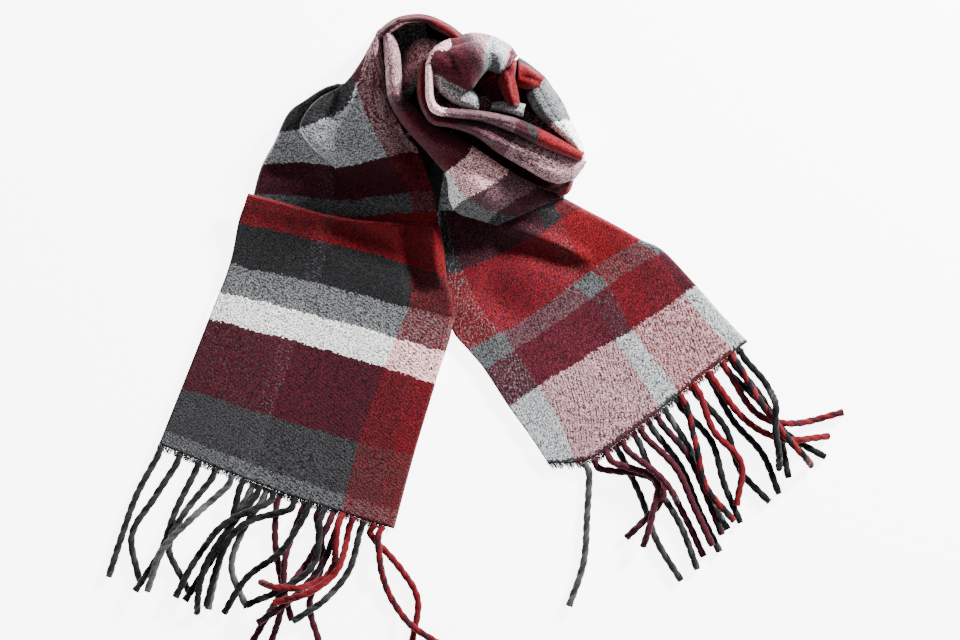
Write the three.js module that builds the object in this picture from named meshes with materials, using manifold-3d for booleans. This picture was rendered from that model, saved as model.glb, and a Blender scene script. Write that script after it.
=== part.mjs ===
// A woven winter scarf, folded in half along its length, wound into a knot of rolls and laid on a table
// with its two fringed tails fanned out. Millimetres, +Z up, the table at z = 0, +Y towards the knot.
import * as THREE from "three";
import { mergeVertices } from "three/addons/utils/BufferGeometryUtils.js";
import Module from "manifold-3d";

// Cloth and yarn
const CLOTH = 1.6; // the thickness of the brushed wool
const SEAM = 0.3; // the gap between neighbouring pieces
const FRONT_TOP = 5; // the upper face of the front layer where a folded tail lies flat
const ROLL = 3; // the radius of an edge that turns down
const STRAND_RADIUS = 1.9; // a twisted fringe strand
const ROOT_RADIUS = 0.65; // the same strand where it leaves the hem
const STRIP = 1.6; // the depth of the strip that the strands are knotted into
const LIFT = 0.4; // the height of a strand's underside over the table

// The places in the tables are read off a view from straight above, so a point that stands high is seen
// further out than it is. EYE is the height of the view and AXIS the point under it.
const EYE = 1500;
const AXIS = { x: 2.5, y: 7.5 };

const wasm = await Module();
wasm.setup();

function seen(x, y, z) {
  const share = 1 - z / EYE;
  return new THREE.Vector3(AXIS.x + (x - AXIS.x) * share, AXIS.y + (y - AXIS.y) * share, z);
}

function table(names, rows) {
  const keys = names.split(" ");
  return rows.map((row) => Object.fromEntries(keys.map((key, i) => [key, row[i]])));
}

// Weft lines of the left tail, from the hem to the crest of the tuck, each by three places x y z
const LEFT_TAIL = table("left middle right", [
  [[-198, -70, 5], [-122, -100, 5], [-51, -123, 5]],
  [[-184, -35, 5], [-110, -58, 5], [-39, -78, 5]],
  [[-167, 8, 5], [-96, -11, 5], [-25.5, -33, 6]],
  [[-154, 42, 6], [-84, 26, 6], [-14, 7, 8]],
  [[-148.5, 68, 10], [-81, 52, 8], [-18, 34, 11]],
  [[-144.5, 80, 15], [-78, 64, 11], [-20, 54, 13]],
  [[-143, 85, 17], [-77, 69, 12.5], [-22, 66, 13.5]],
]);
// The crest then turns down and back under itself: how far back from the crest, and how far down
const CREST_TURN = table("back down", [[-1.4, 2], [-1.6, 5], [1.4, 7.5]]);

// Weft lines of the stretch above the tuck, up to the apex of the wound part
const LEFT_UPPER = table("left quarter middle late right", [
  [[-92, 62, 4.4], [-76, 60, 4.4], [-58, 60, 6], [-40, 60, 9], [-23, 62, 12]],
  [[-90, 82, 5], [-76, 82, 5.5], [-60, 84, 9], [-44, 86, 14], [-27, 88, 14]],
  [[-88, 102, 15], [-76, 104, 17], [-63, 108, 19], [-50, 111, 20], [-35, 112, 16]],
  [[-100, 113, 24], [-85, 116, 25], [-70, 119, 25], [-57, 121, 25], [-43, 122, 20]],
  [[-110, 126, 29], [-93, 128, 31], [-77, 130, 30], [-63, 132, 30], [-49, 132, 24]],
  [[-106, 138, 31], [-93, 139, 34], [-80, 140, 34], [-67, 141, 34], [-54, 141, 27]],
  [[-97, 147, 33], [-88, 149, 36], [-78, 150, 38], [-67, 152, 39], [-57, 152, 32]],
  [[-83, 155, 36], [-78, 159, 40], [-72, 161, 42], [-65, 163, 43], [-58.5, 165, 37]],
  [[-72, 169, 42], [-69, 171, 45], [-66, 173, 47], [-62.5, 175, 47], [-59.5, 177, 43]],
  [[-63, 185.5, 47], [-62.4, 185.7, 48.5], [-61.8, 186, 49], [-61.2, 186.2, 49], [-60.4, 186.4, 46]],
]);
const LEFT_UPPER_FOOT = [3, 3, 9, 14, 17, 18, 18, 4, 1, 1];

// Weft lines of the outer layer at the left, which runs under the lip
const LEFT_WING = table("left middle right", [
  [[-141, 72, 4.6], [-118, 68, 4.4], [-92.6, 62, 4.4]],
  [[-139, 86, 6], [-115, 85, 5.5], [-90.6, 82, 5]],
  [[-134, 104, 9], [-111, 106, 10], [-88.6, 103, 12]],
  [[-126, 119, 12], [-110, 119, 13], [-92, 119, 13]],
  [[-118, 136, 16], [-106, 135, 16.5], [-91, 134, 15]],
  [[-108, 144.5, 19], [-98, 144, 19], [-85, 143, 17]],
  [[-94, 153, 22], [-87, 151, 22], [-78, 149, 20]],
  [[-84, 155, 24], [-80, 154.5, 24], [-74, 152, 22]],
]);

// Weft lines of the right tail, from the hem up to where it runs under the neck
const RIGHT_TAIL = table("left quarter middle late right", [
  [[45, -82, 5], [72, -79, 5], [107, -55, 5], [139, -29, 5], [170, -6, 5]],
  [[33, -64, 5], [63, -50, 5], [94, -31, 5], [124, -11, 5], [153, 12, 5]],
  [[20, -46, 5], [49, -27, 5], [79, -9, 5], [108, 9, 5], [137, 30, 5]],
  [[5, -23, 5], [33, -5, 5], [61, 14, 5.4], [90, 35, 5.6], [117, 51, 6]],
  [[-5, -11, 5], [25, 5, 5.4], [50, 22, 6], [77, 42, 7], [103, 58, 8]],
  [[-14, 3, 5], [13, 22, 6], [38, 37, 9], [64, 54, 11], [88, 66.5, 11]],
  [[-16.6, 33, 5], [10, 45, 7], [32, 56, 13], [50, 67, 16], [67, 77.5, 14]],
  [[-18.6, 53, 5], [4, 58, 7.5], [23, 66, 15], [40, 76, 22], [54, 84.5, 18]],
  [[-21.6, 76, 5], [-1, 76, 7], [18, 77, 14], [34, 82, 22.5], [46, 88.5, 21]],
]);

// The neck from the apex to the right tail, by its upper edge, its lower edge, and the heights of its crown
// and of its two feet. EDGE is where the crown lies, 0.5 in the middle.
const NECK = table("lx ly rx ry top lfoot rfoot edge", [
  [-54.5, 190, -58, 187, 50, 30, 30, 0.5],
  [-49.5, 182, -58, 178, 53, 30, 32, 0.5],
  [-46, 167, -56, 166, 55, 28, 32, 0.5],
  [-44, 150, -55, 148, 54, 28, 26, 0.5],
  [-37, 139, -50, 136, 52, 28, 20, 0.5],
  [-26, 129, -41, 123.5, 49, 28, 14, 0.5],
  [-8, 120.5, -29, 110, 46, 26, 10, 0.45],
  [6, 111, -19, 97, 43, 22, 9, 0.45],
  [22, 100.5, -17.5, 83, 39, 18, 8.5, 0.45],
  [36, 92.5, -12, 74, 34, 12, 8.5, 0.45],
  [46, 89, 1, 69.8, 29, 8, 9, 0.45],
  [55.5, 85, 12.6, 66.2, 24.6, 9, 12, 0.42],
]);

// The rim that closes the loop at the top, and the turned edge inside it
const TOP_RIM = table("lx ly rx ry top lfoot rfoot edge", [
  [-61, 188.5, -56.5, 184, 50, 1, 36, 0.5],
  [-56.6, 193.4, -51, 188, 54, 1, 38, 0.5],
  [-47.5, 198.2, -44, 191, 56, 1, 40, 0.5],
  [-34, 199.4, -34, 192.5, 56, 1, 40, 0.5],
  [-22.5, 196, -26, 189, 55, 1, 40, 0.5],
  [-13, 190, -17, 184, 55, 1, 40, 0.5],
  [-5, 184, -10, 178, 54, 1, 40, 0.5],
]);
const HOLLOW = table("lx ly rx ry top lfoot rfoot edge", [
  [-22, 180, -30, 165, 44, 24, 24, 0.5],
  [-33, 182, -34, 160, 42, 20, 20, 0.5],
  [-42, 176, -40, 150, 36, 12, 12, 0.5],
  [-46, 170, -45, 146, 30, 10, 10, 0.5],
]);

// The folds of the knot
const KNOT = {
  cap: table("lx ly rx ry top lfoot rfoot edge", [
    [-33, 168, -27, 163, 63, 40, 44, 0.5],
    [-27, 177, -14, 155, 70, 26, 46, 0.4],
    [-15, 184, -4, 151, 75, 10, 46, 0.45],
    [-2, 187.5, 2, 157, 77, 1, 46, 0.5],
    [12, 185, 7, 163, 75, 1, 46, 0.5],
    [21, 180, 14, 161, 71, 1, 46, 0.5],
    [26.4, 173, 20, 163, 65, 2, 46, 0.5],
  ]),
  inner_twill: table("lx ly rx ry top lfoot rfoot edge", [
    [-23, 165, -28, 160, 61, 46, 44, 0.5],
    [-13, 160, -24, 151, 60, 44, 42, 0.5],
    [-4, 154, -15, 143.5, 58, 42, 42, 0.5],
    [1, 148, -4, 139, 56, 42, 42, 0.5],
    [3, 143, 1, 137, 54, 42, 42, 0.5],
  ]),
  red_fold: table("lx ly rx ry top lfoot rfoot edge", [
    [25.5, 170, 18, 164, 66, 44, 44, 0.5],
    [25, 161, 13.5, 158, 67, 42, 42, 0.5],
    [26.6, 152, 15.5, 151, 65, 42, 42, 0.5],
    [27.5, 141, 20, 141, 60, 42, 42, 0.5],
  ]),
  red_crossing: table("lx ly rx ry top lfoot rfoot edge", [
    [27, 169, 25, 153, 59, 40, 44, 0.5],
    [35, 165, 33, 151.5, 60, 38, 44, 0.5],
    [43, 160, 40, 153, 56, 36, 42, 0.5],
  ]),
  outer_band: table("lx ly rx ry top lfoot rfoot edge", [
    [27, 172, 26, 163, 52, 1, 34, 0.5],
    [34, 167.5, 30, 156, 53, 1, 34, 0.5],
    [45.5, 157.5, 32, 146, 54, 1, 34, 0.5],
    [54, 142, 38, 136, 53, 1, 36, 0.5],
    [61, 130, 48, 127, 51, 1, 36, 0.5],
    [67, 116, 58, 118, 47, 1, 36, 0.5],
    [68, 108, 65, 112, 42, 2, 34, 0.5],
  ]),
  grey_fold: table("lx ly rx ry top lfoot rfoot edge", [
    [10, 144, 9, 138, 53, 42, 42, 0.5],
    [20, 144.5, 19, 137, 55, 42, 42, 0.5],
    [31, 142.5, 29, 134, 54, 42, 42, 0.5],
  ]),
  inner_roll: table("lx ly rx ry top lfoot rfoot edge", [
    [-26, 168, -32, 166, 66, 44, 44, 0.5],
    [-26.5, 156, -32, 156, 68, 44, 44, 0.5],
    [-25.5, 145, -31.5, 145, 67, 44, 44, 0.5],
    [-21, 140.6, -27, 136.5, 66, 44, 44, 0.5],
    [-12, 139.6, -13, 133.6, 65, 44, 44, 0.5],
    [6, 138.2, 4, 131, 64, 43, 43, 0.5],
    [26, 133.5, 22, 125, 62, 42, 42, 0.5],
    [44, 125, 39, 117, 58, 40, 40, 0.5],
    [58, 117.5, 54, 111, 53, 36, 36, 0.5],
    [68, 112, 65, 107, 47, 30, 32, 0.5],
  ]),
  outer_roll: table("lx ly rx ry top lfoot rfoot edge", [
    [-31, 170.5, -35, 168, 60, 40, 30, 0.5],
    [-31, 157, -37, 157, 62, 42, 28, 0.5],
    [-30.5, 145, -36, 144, 61, 42, 26, 0.5],
    [-25, 136, -29, 131, 60, 42, 26, 0.5],
    [-11, 133.5, -16, 126.5, 59, 42, 26, 0.5],
    [5, 131, -2, 120.5, 58, 41, 25, 0.5],
    [22, 125, 14, 111, 55, 40, 22, 0.5],
    [38, 118, 31, 102, 52, 38, 18, 0.5],
    [52, 111.5, 47, 93.5, 47, 34, 12, 0.5],
    [63, 107.5, 59.5, 94, 40, 30, 8, 0.5],
    [69, 107, 67, 102.5, 34, 24, 10, 0.5],
  ]),
  small_loop: table("lx ly rx ry top lfoot rfoot edge", [
    [60.5, 100, 57, 100, 31, 12, 18, 0.5],
    [61, 94, 56, 93, 32, 10, 20, 0.5],
    [58.5, 87.5, 53, 90.5, 31, 16, 23, 0.5],
    [54.5, 85, 49, 88.5, 29, 21.5, 24, 0.5],
  ]),
};

// The hidden layers: the lowest ones, which tie all together, those in the valley beside the neck, those
// inside the knot up to the feet of its outer walls, and those under its inner folds
const CORE_ROUND = 2; // the radius of the edges
const CORE_GAP = 1.6; // the air under the cloth
const CORE_BLOCKS = [
  {
    top: 5,
    outline: table("x y", [
      [-118, 106], [-106, 130], [-80, 144], [-60, 172], [-59, 186], [-53, 191], [-44, 194], [-33, 195.5],
      [-24, 192.5], [-15, 187], [-8, 181], [8, 176], [22, 166], [34, 163], [46, 150], [60, 126], [62, 112],
      [58, 99], [50, 91], [36, 91], [8, 92], [-8, 84], [-14, 70], [-26, 68], [-30, 90], [-36, 104],
      [-60, 104],
    ]),
  },
  {
    top: 20,
    outline: table("x y", [
      [-64, 180], [-58, 186], [-50, 184], [-48, 160], [-44, 148], [-38, 136], [-44, 130], [-54, 134],
      [-62, 150], [-64, 166],
    ]),
  },
  {
    top: 33,
    outline: table("x y", [
      [-28, 164], [-22, 171], [-12, 177], [-2, 180], [9, 178], [16, 173], [25, 169], [34, 161], [40, 152],
      [48, 138], [55, 127], [60, 114], [58, 106], [47, 103], [33, 110], [17, 118], [2, 126], [-12, 132],
      [-25, 138],
    ]),
  },
  {
    top: 41,
    outline: table("x y", [
      [-23, 162], [-12, 166], [2, 168], [13, 165], [21, 157], [23, 146], [28, 136], [36, 127], [22, 129],
      [4, 134], [-12, 138], [-21, 143],
    ]),
  },
];

// The strands: their layer, the share of the hem's width where they are tied, the tip, and how far the way
// there bends to its left after one and two thirds
const LEFT_FRINGE = table("layer at x y first second", [
  ["back", 0.4, -168, -174, -4, -3],
  ["back", 0.46, -144, -173, -10, -13],
  ["back", 0.52, -116, -181, -4, -3],
  ["back", 0.63, -130, -198, -3, 2],
  ["back", 0.7, -98, -197, 3, -6],
  ["back", 0.76, -141, -195, 2, -1],
  ["back", 0.8, -136, -181, 8, 7],
  ["front", 0.01, -229.5, -153, -3, -2],
  ["front", 0.09, -211, -156, -7, -13],
  ["front", 0.17, -213, -162, 0, 3],
  ["front", 0.24, -180, -163, -12, -17],
  ["front", 0.31, -205, -162, -5, -8],
  ["front", 0.36, -182, -168, 5, 3],
  ["front", 0.43, -175, -176, -6, -8],
  ["front", 0.49, -188, -166, -10, -8],
  ["front", 0.58, -169, -172, -16, -12],
  ["front", 0.65, -158, -176, 3, -3],
  ["front", 0.72, -144, -171, 15, 10],
  ["front", 0.8, -135, -157, 20, 17],
  ["front", 0.85, -126, -168, 13, 11],
  ["front", 0.9, -115, -181, 9, 8],
  ["front", 0.95, -41, -195, 9, 13],
  ["front", 0.985, -19, -198, -12, -12],
]);
const RIGHT_FRINGE = table("layer at x y first second", [
  ["back", 0.9, 219, -79, -1, -5],
  ["back", 0.94, 196, -92, 6, 6],
  ["back", 0.82, 190, -102, -1, 4],
  ["back", 0.74, 184, -107, 3, -4],
  ["back", 0.66, 166, -120, 7, 2],
  ["back", 0.6, 158, -124, 2, -1],
  ["back", 0.52, 153, -138, 4, 1],
  ["back", 0.45, 139, -149, -1, 2],
  ["back", 0.37, 129, -156, 0, -3],
  ["front", 0.21, 59, -172, 3, 5],
  ["front", 0.27, 95, -129, 26, 30],
  ["front", 0.33, 105, -134, 21, 13],
  ["front", 0.4, 143, -141, 7, 5],
  ["front", 0.48, 148, -134, 6, 3],
  ["front", 0.56, 154, -127, 5, 3],
  ["front", 0.68, 161, -118, -4, -8],
  ["front", 0.75, 163, -109, 1, 11],
  ["front", 0.83, 221, -66, -13, -14],
  ["front", 0.9, 229.5, -50, -19, -16],
  ["front", 0.95, 210, -84, -3, -3],
  ["front", 0.99, 190, -86, 9, 3],
]);

function catmull(a, b, c, d, t) {
  return 0.5 * (2 * b + (c - a) * t + (2 * a - 5 * b + 4 * c - d) * t * t + (3 * b - a - 3 * c + d) * t ** 3);
}

// The value of a list at a place from 0 to 1, on a smooth curve through its entries
function along(list, share) {
  const at = Math.min(Math.max(share, 0), 1) * (list.length - 1);
  const i = Math.min(Math.floor(at), list.length - 2);
  const pick = (k) => {
    if (k < 0) return 2 * list[0] - list[1];
    if (k >= list.length) return 2 * list.at(-1) - list.at(-2);
    return list[k];
  };
  return catmull(pick(i - 1), pick(i), pick(i + 1), pick(i + 2), at - i);
}

const spread = (count) => Array.from({ length: count }, (_, i) => i / (count - 1));

// A sheet through a net of places: stations along the warp, points along the weft
function netGrid(net, stations, points) {
  const lines = net.map((row) => Object.values(row));
  const line = (row, u) => [0, 1, 2].map((axis) => along(row.map((place) => place[axis]), u));
  return spread(stations).map((v) =>
    spread(points).map((u) => {
      const places = lines.map((row) => line(row, u));
      return seen(...[0, 1, 2].map((axis) => along(places.map((place) => place[axis]), v)));
    }),
  );
}

// A rounded arch from one foot over the crown to the other foot
const UNDERCUT = 0.6; // how far an arch curves in below its widest line, in radians
const WIDEST = 0.4; // the height of the widest line, as a share of the arch
const FULLNESS = 0.8; // 1 is an ellipse, and less is fuller
function arch(row, points) {
  const left = new THREE.Vector2(row.lx, row.ly);
  const right = new THREE.Vector2(row.rx, row.ry);
  const power = Math.log(row.edge) / Math.log(0.5);
  return spread(points).map((share) => {
    const angle = -UNDERCUT + (Math.PI + 2 * UNDERCUT) * share;
    const rise = Math.sin(angle);
    const foot = angle < Math.PI / 2 ? row.lfoot : row.rfoot;
    const widest = foot + WIDEST * (row.top - foot);
    const up = (row.top - widest) * Math.pow(Math.max(rise, 0), FULLNESS);
    const down = ((widest - foot) * Math.min(rise, 0)) / Math.sin(UNDERCUT);
    const place = left.clone().lerp(right, Math.pow(0.5 - 0.5 * Math.cos(angle), power));
    return seen(place.x, place.y, widest + up + down);
  });
}

function bandGrid(rows, stations, points) {
  const keys = Object.keys(rows[0]);
  return spread(stations).map((v) => {
    const row = Object.fromEntries(keys.map((key) => [key, along(rows.map((one) => one[key]), v)]));
    return arch(row, points);
  });
}

// The points of a sheet's left edge turned down to its foot
const ROLLS_HIGH = 2.4; // an edge is at least so many radii high
const NEAREST = 0.2; // the nearest that two points of a turned edge come to each other
function turnedLeft(grid, foots) {
  return grid.map((row, i) => {
    const foot = along(foots, i / (grid.length - 1));
    const edge = row[0];
    const out = edge.clone().sub(row[1]).setZ(0).normalize();
    const roll = Math.min(ROLL, (edge.z - foot) / ROLLS_HIGH);
    const at = (back, z) => edge.clone().addScaledVector(out, -back).setZ(z);
    const inward = at(roll, foot);
    const low = at(0.2 * roll, foot + 0.7 * roll);
    const side = at(0, edge.z - roll);
    const shoulder = at(0.3 * roll, edge.z - 0.3 * roll);
    const top = at(Math.max(roll, NEAREST), edge.z);
    return [inward, low, side, shoulder, top, ...row.slice(1)];
  });
}

// The place on the table under a share of a row of points
function placeUnder(row, share) {
  const x = along(row.map((point) => point.x), share);
  return new THREE.Vector3(x, along(row.map((point) => point.y), share), 0);
}

// The folded edge of a tail and the back layer, which lies flat on the table
const FOLD_REACH = 3;
const FOLD_POINTS = 4;
const BACK_POINTS = 6;
function foldedRight(grid) {
  return grid.map((row) => {
    const edge = row.at(-1);
    const out = edge.clone().sub(row.at(-2)).setZ(0).normalize();
    const half = edge.z / 2;
    const reach = Math.min(half, FOLD_REACH);
    const start = edge.clone().addScaledVector(out, -reach);
    const fold = spread(FOLD_POINTS).slice(1).map((share) => {
      const angle = Math.PI / 2 - Math.PI * share;
      return start.clone().addScaledVector(out, reach * Math.cos(angle)).setZ(half + half * Math.sin(angle));
    });
    const front = [...row.slice(0, -1), start];
    const over = (share) => placeUnder(front, 1 - share);
    return [...front, ...fold, ...spread(BACK_POINTS).slice(1).map(over)];
  });
}

function normals(grid) {
  const last = grid.length - 1;
  const end = grid[0].length - 1;
  return grid.map((row, i) =>
    row.map((_, j) => {
      const across = row[Math.min(j + 1, end)].clone().sub(row[Math.max(j - 1, 0)]);
      const on = grid[Math.min(i + 1, last)][j].clone().sub(grid[Math.max(i - 1, 0)][j]);
      return across.cross(on).normalize();
    }),
  );
}

function offset(grid, by) {
  const out = normals(grid);
  return grid.map((row, i) => row.map((point, j) => point.clone().addScaledVector(out[i][j], by)));
}

// A closed body between an outer sheet of points and an inner one
function between(outer, inner) {
  const rows = outer.length;
  const wide = outer[0].length;
  const points = [...outer.flat(), ...inner.flat()];
  const o = (i, j) => i * wide + j;
  const u = (i, j) => (rows + i) * wide + j;
  const faces = [];
  const quad = (a, b, c, d) => faces.push(a, b, c, a, c, d);
  for (let i = 0; i < rows - 1; i++) {
    for (let j = 0; j < wide - 1; j++) {
      quad(o(i, j), o(i, j + 1), o(i + 1, j + 1), o(i + 1, j));
      quad(u(i, j), u(i + 1, j), u(i + 1, j + 1), u(i, j + 1));
    }
    quad(o(i, 0), o(i + 1, 0), u(i + 1, 0), u(i, 0));
    quad(o(i, wide - 1), u(i, wide - 1), u(i + 1, wide - 1), o(i + 1, wide - 1));
  }
  for (let j = 0; j < wide - 1; j++) {
    quad(o(0, j), u(0, j), u(0, j + 1), o(0, j + 1));
    quad(o(rows - 1, j), o(rows - 1, j + 1), u(rows - 1, j + 1), u(rows - 1, j));
  }
  const geometry = new THREE.BufferGeometry();
  const numbers = points.flatMap((point) => [point.x, point.y, point.z]);
  geometry.setAttribute("position", new THREE.Float32BufferAttribute(numbers, 3));
  geometry.setIndex(faces);
  return geometry;
}

function bare(geometry) {
  geometry.deleteAttribute("normal");
  geometry.deleteAttribute("uv");
  return geometry;
}

// A triangle whose corner all but lies on its longest edge gives that edge up: it and its neighbour there
// share the edge between their other corners instead
const THINNEST = 0.01;
function withoutSlivers(corners, points) {
  const at = (i) => new THREE.Vector3().fromArray(points, 3 * i);
  const after = (i) => i - (i % 3) + ((i + 1) % 3);
  const height = (a, b, c) => {
    const base = at(b).sub(at(a));
    return base.clone().cross(at(c).sub(at(a))).length() / base.length();
  };
  const made = [...corners];
  const sides = new Map();
  const keep = (face) => {
    for (const i of [face, face + 1, face + 2]) sides.set(`${made[i]} ${made[after(i)]}`, i);
  };
  for (let face = 0; face < made.length; face += 3) keep(face);
  for (let face = 0; face < made.length; face += 3) {
    const length = (i) => at(made[i]).distanceTo(at(made[after(i)]));
    const long = [face, face + 1, face + 2].reduce((one, two) => (length(two) > length(one) ? two : one));
    const [a, b, c] = [made[long], made[after(long)], made[after(after(long))]];
    if (height(a, b, c) > THINNEST) continue;
    const beside = sides.get(`${b} ${a}`);
    const d = made[after(after(beside))];
    const thinner = Math.min(height(c, d, a), height(c, d, b)) <= height(a, b, c);
    if (thinner || sides.has(`${c} ${d}`) || sides.has(`${d} ${c}`)) continue;
    sides.delete(`${a} ${b}`);
    sides.delete(`${b} ${a}`);
    const other = beside - (beside % 3);
    made.splice(face, 3, c, a, d);
    made.splice(other, 3, d, b, c);
    keep(face);
    keep(other);
  }
  return made;
}

// Corners nearer than a grain are one corner, so that no edge is shorter than that
const GRAIN = 0.01;
function solid(geometry) {
  const merged = mergeVertices(geometry, GRAIN / 4);
  const corners = Array.from(merged.index.array);
  const kept = corners.filter((_, i) => {
    const [a, b, c] = corners.slice(i - (i % 3), i - (i % 3) + 3);
    return a !== b && b !== c && c !== a;
  });
  const points = merged.attributes.position.array;
  return new wasm.Manifold(
    new wasm.Mesh({
      numProp: 3,
      vertProperties: new Float32Array(points),
      triVerts: new Uint32Array(withoutSlivers(withoutSlivers(kept, points), points)),
    }),
  );
}

// The grid with a row and a column more at each side, a little further out
function widened(grid, by) {
  const step = (a, b) => a.clone().add(a.clone().sub(b).setLength(by));
  const wide = grid.map((row) => [step(row[0], row[1]), ...row, step(row.at(-1), row.at(-2))]);
  const first = wide[0].map((point, j) => step(point, wide[1][j]));
  const last = wide.at(-1).map((point, j) => step(point, wide.at(-2)[j]));
  return [first, ...wide, last];
}

const wall = (grid) => solid(between(grid, offset(grid, -CLOTH)));

function room(grid, gap) {
  const wide = widened(grid, gap);
  return solid(between(offset(wide, gap), offset(wide, -CLOTH - gap)));
}

// All that lies under a sheet, from its inner face down to a floor
function under(grid, gap, turned, floor = 0) {
  const inner = offset(grid, -CLOTH - gap).map((row) => (turned ? row.slice(4) : row.slice(2, -2)));
  const bottom = inner.map((row) => row.map((point) => point.clone().setZ(floor)));
  return solid(between(inner, bottom));
}

// The largest closed piece of a body that cuts may have left in several. Pieces are joined by whole edges.
function largest(body) {
  const made = body.getMesh();
  const points = made.vertProperties;
  const corners = Array.from(made.triVerts);
  const owner = Array.from({ length: corners.length / 3 }, (_, i) => i);
  const find = (i) => {
    while (owner[i] !== i) i = owner[i];
    return i;
  };
  const edges = new Map();
  corners.forEach((from, i) => {
    const face = Math.floor(i / 3);
    const to = corners[3 * face + ((i + 1) % 3)];
    const key = from < to ? `${from} ${to}` : `${to} ${from}`;
    if (edges.has(key)) owner[find(face)] = find(edges.get(key));
    else edges.set(key, face);
  });
  const at = (i) => new THREE.Vector3(points[3 * i], points[3 * i + 1], points[3 * i + 2]);
  const volumes = new Map();
  for (let face = 0; face < owner.length; face++) {
    const [a, b, c] = [0, 1, 2].map((k) => at(corners[3 * face + k]));
    volumes.set(find(face), (volumes.get(find(face)) ?? 0) + a.dot(b.cross(c)) / 6);
  }
  const best = [...volumes.entries()].reduce((one, two) => (two[1] > one[1] ? two : one))[0];
  const geometry = new THREE.BufferGeometry();
  const snapped = Array.from(points, (value) => Math.round(value / GRAIN) * GRAIN);
  geometry.setAttribute("position", new THREE.Float32BufferAttribute(snapped, 3));
  geometry.setIndex(corners.filter((_, i) => find(Math.floor(i / 3)) === best));
  return solid(geometry);
}

function whole(body) {
  let kept = largest(body);
  for (let tries = 0; tries < 4 && kept.decompose().length > 1; tries++) kept = largest(kept);
  return kept;
}

// A strand's way over the table, as places in plan
const STRAND_STATIONS = 11;
const LEAD = 7; // how far a strand runs straight out of the hem
function strandPlan(row, hem, out) {
  const root = hem(row.at, row.layer);
  const tip = seen(row.x, row.y, 2);
  const lead = root.clone().addScaledVector(out, LEAD);
  const way = tip.clone().sub(lead).setZ(0);
  const left = new THREE.Vector3(-way.y, way.x, 0).normalize();
  const third = lead.clone().addScaledVector(way, 1 / 3).addScaledVector(left, row.first);
  const late = lead.clone().addScaledVector(way, 2 / 3).addScaledVector(left, row.second);
  const curve = new THREE.CatmullRomCurve3([root, lead, third, late, tip], false, "centripetal");
  const points = curve.getSpacedPoints(STRAND_STATIONS - 1).slice(1);
  return { root, points: [lead, ...points.slice(1)] };
}

// Each strand lies over the ones placed before it where they cross
const STEP = 1.5;
const CLEAR = 2 * STRAND_RADIUS + 0.5;
function laid(plans) {
  const placed = [];
  for (const plan of plans) {
    const heights = plan.points.map(() => STRAND_RADIUS + LIFT);
    for (let i = 0; i < plan.points.length - 1; i++) {
      const a = plan.points[i];
      const b = plan.points[i + 1];
      const count = Math.ceil(a.distanceTo(b) / STEP);
      for (let k = 0; k <= count; k++) {
        const x = a.x + ((b.x - a.x) * k) / count;
        const y = a.y + ((b.y - a.y) * k) / count;
        for (const dot of placed) {
          if (Math.hypot(dot.x - x, dot.y - y) > CLEAR) continue;
          heights[i] = Math.max(heights[i], dot.z + CLEAR);
          heights[i + 1] = Math.max(heights[i + 1], dot.z + CLEAR);
        }
      }
    }
    plan.points.forEach((point, i) => point.setZ(heights[i]));
    for (let i = 0; i < plan.points.length - 1; i++) {
      const count = Math.ceil(plan.points[i].distanceTo(plan.points[i + 1]) / STEP);
      const [from, to] = plan.points.slice(i, i + 2);
      for (let k = 0; k <= count; k++) placed.push(from.clone().lerp(to, k / count));
    }
  }
}

// A tube with few sides through a strand's places
const SIDES = 3;
function strandBody(plan) {
  const centres = [plan.root, ...plan.points];
  const outer = centres.map((point, i) => {
    const before = centres[Math.max(i - 1, 0)];
    const after = centres[Math.min(i + 1, centres.length - 1)];
    const way = after.clone().sub(before).normalize();
    const side = new THREE.Vector3(-way.y, way.x, 0).normalize();
    const up = way.clone().cross(side).negate();
    const radius = i === 0 ? ROOT_RADIUS : STRAND_RADIUS;
    return Array.from({ length: SIDES }, (_, k) => {
      const angle = Math.PI / 2 + (2 * Math.PI * k) / SIDES;
      const aside = point.clone().addScaledVector(side, radius * Math.cos(angle));
      return aside.addScaledVector(up, radius * Math.sin(angle));
    });
  });
  const points = outer.flat();
  const faces = [];
  for (let i = 0; i < outer.length - 1; i++)
    for (let k = 0; k < SIDES; k++) {
      const a = i * SIDES + k;
      const b = i * SIDES + ((k + 1) % SIDES);
      faces.push(a, b + SIDES, b, a, a + SIDES, b + SIDES);
    }
  const last = (outer.length - 1) * SIDES;
  faces.push(0, 1, 2, last, last + 2, last + 1);
  const geometry = new THREE.BufferGeometry();
  const numbers = points.flatMap((point) => [point.x, point.y, point.z]);
  geometry.setAttribute("position", new THREE.Float32BufferAttribute(numbers, 3));
  geometry.setIndex(faces);
  return solid(geometry);
}

// The strip and strands of one hem. The strip follows the hem round the fold.
function fringe(grid, frontPoints, rows) {
  const hem = grid[0];
  const next = grid[1];
  const out = hem[2].clone().sub(next[2]).setZ(0).normalize();
  const beyond = (by) => hem.map((point) => point.clone().addScaledVector(out, by));
  const strip = wall([beyond(SEAM + STRIP), beyond(SEAM)]);
  const middle = (at, layer) => {
    const place = along(hem.slice(0, frontPoints).map((point) => point.x), at);
    const y = along(hem.slice(0, frontPoints).map((point) => point.y), at);
    const z = layer === "front" ? FRONT_TOP - CLOTH / 2 : CLOTH / 2;
    return new THREE.Vector3(place, y, z).addScaledVector(out, SEAM + STRIP / 2);
  };
  const plans = rows.map((row) => strandPlan(row, middle, out));
  laid(plans);
  const tied = plans.reduce((body, plan) => body.add(strandBody(plan)), strip);
  return whole(tied.subtract(room(grid, SEAM / 2)));
}

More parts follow.
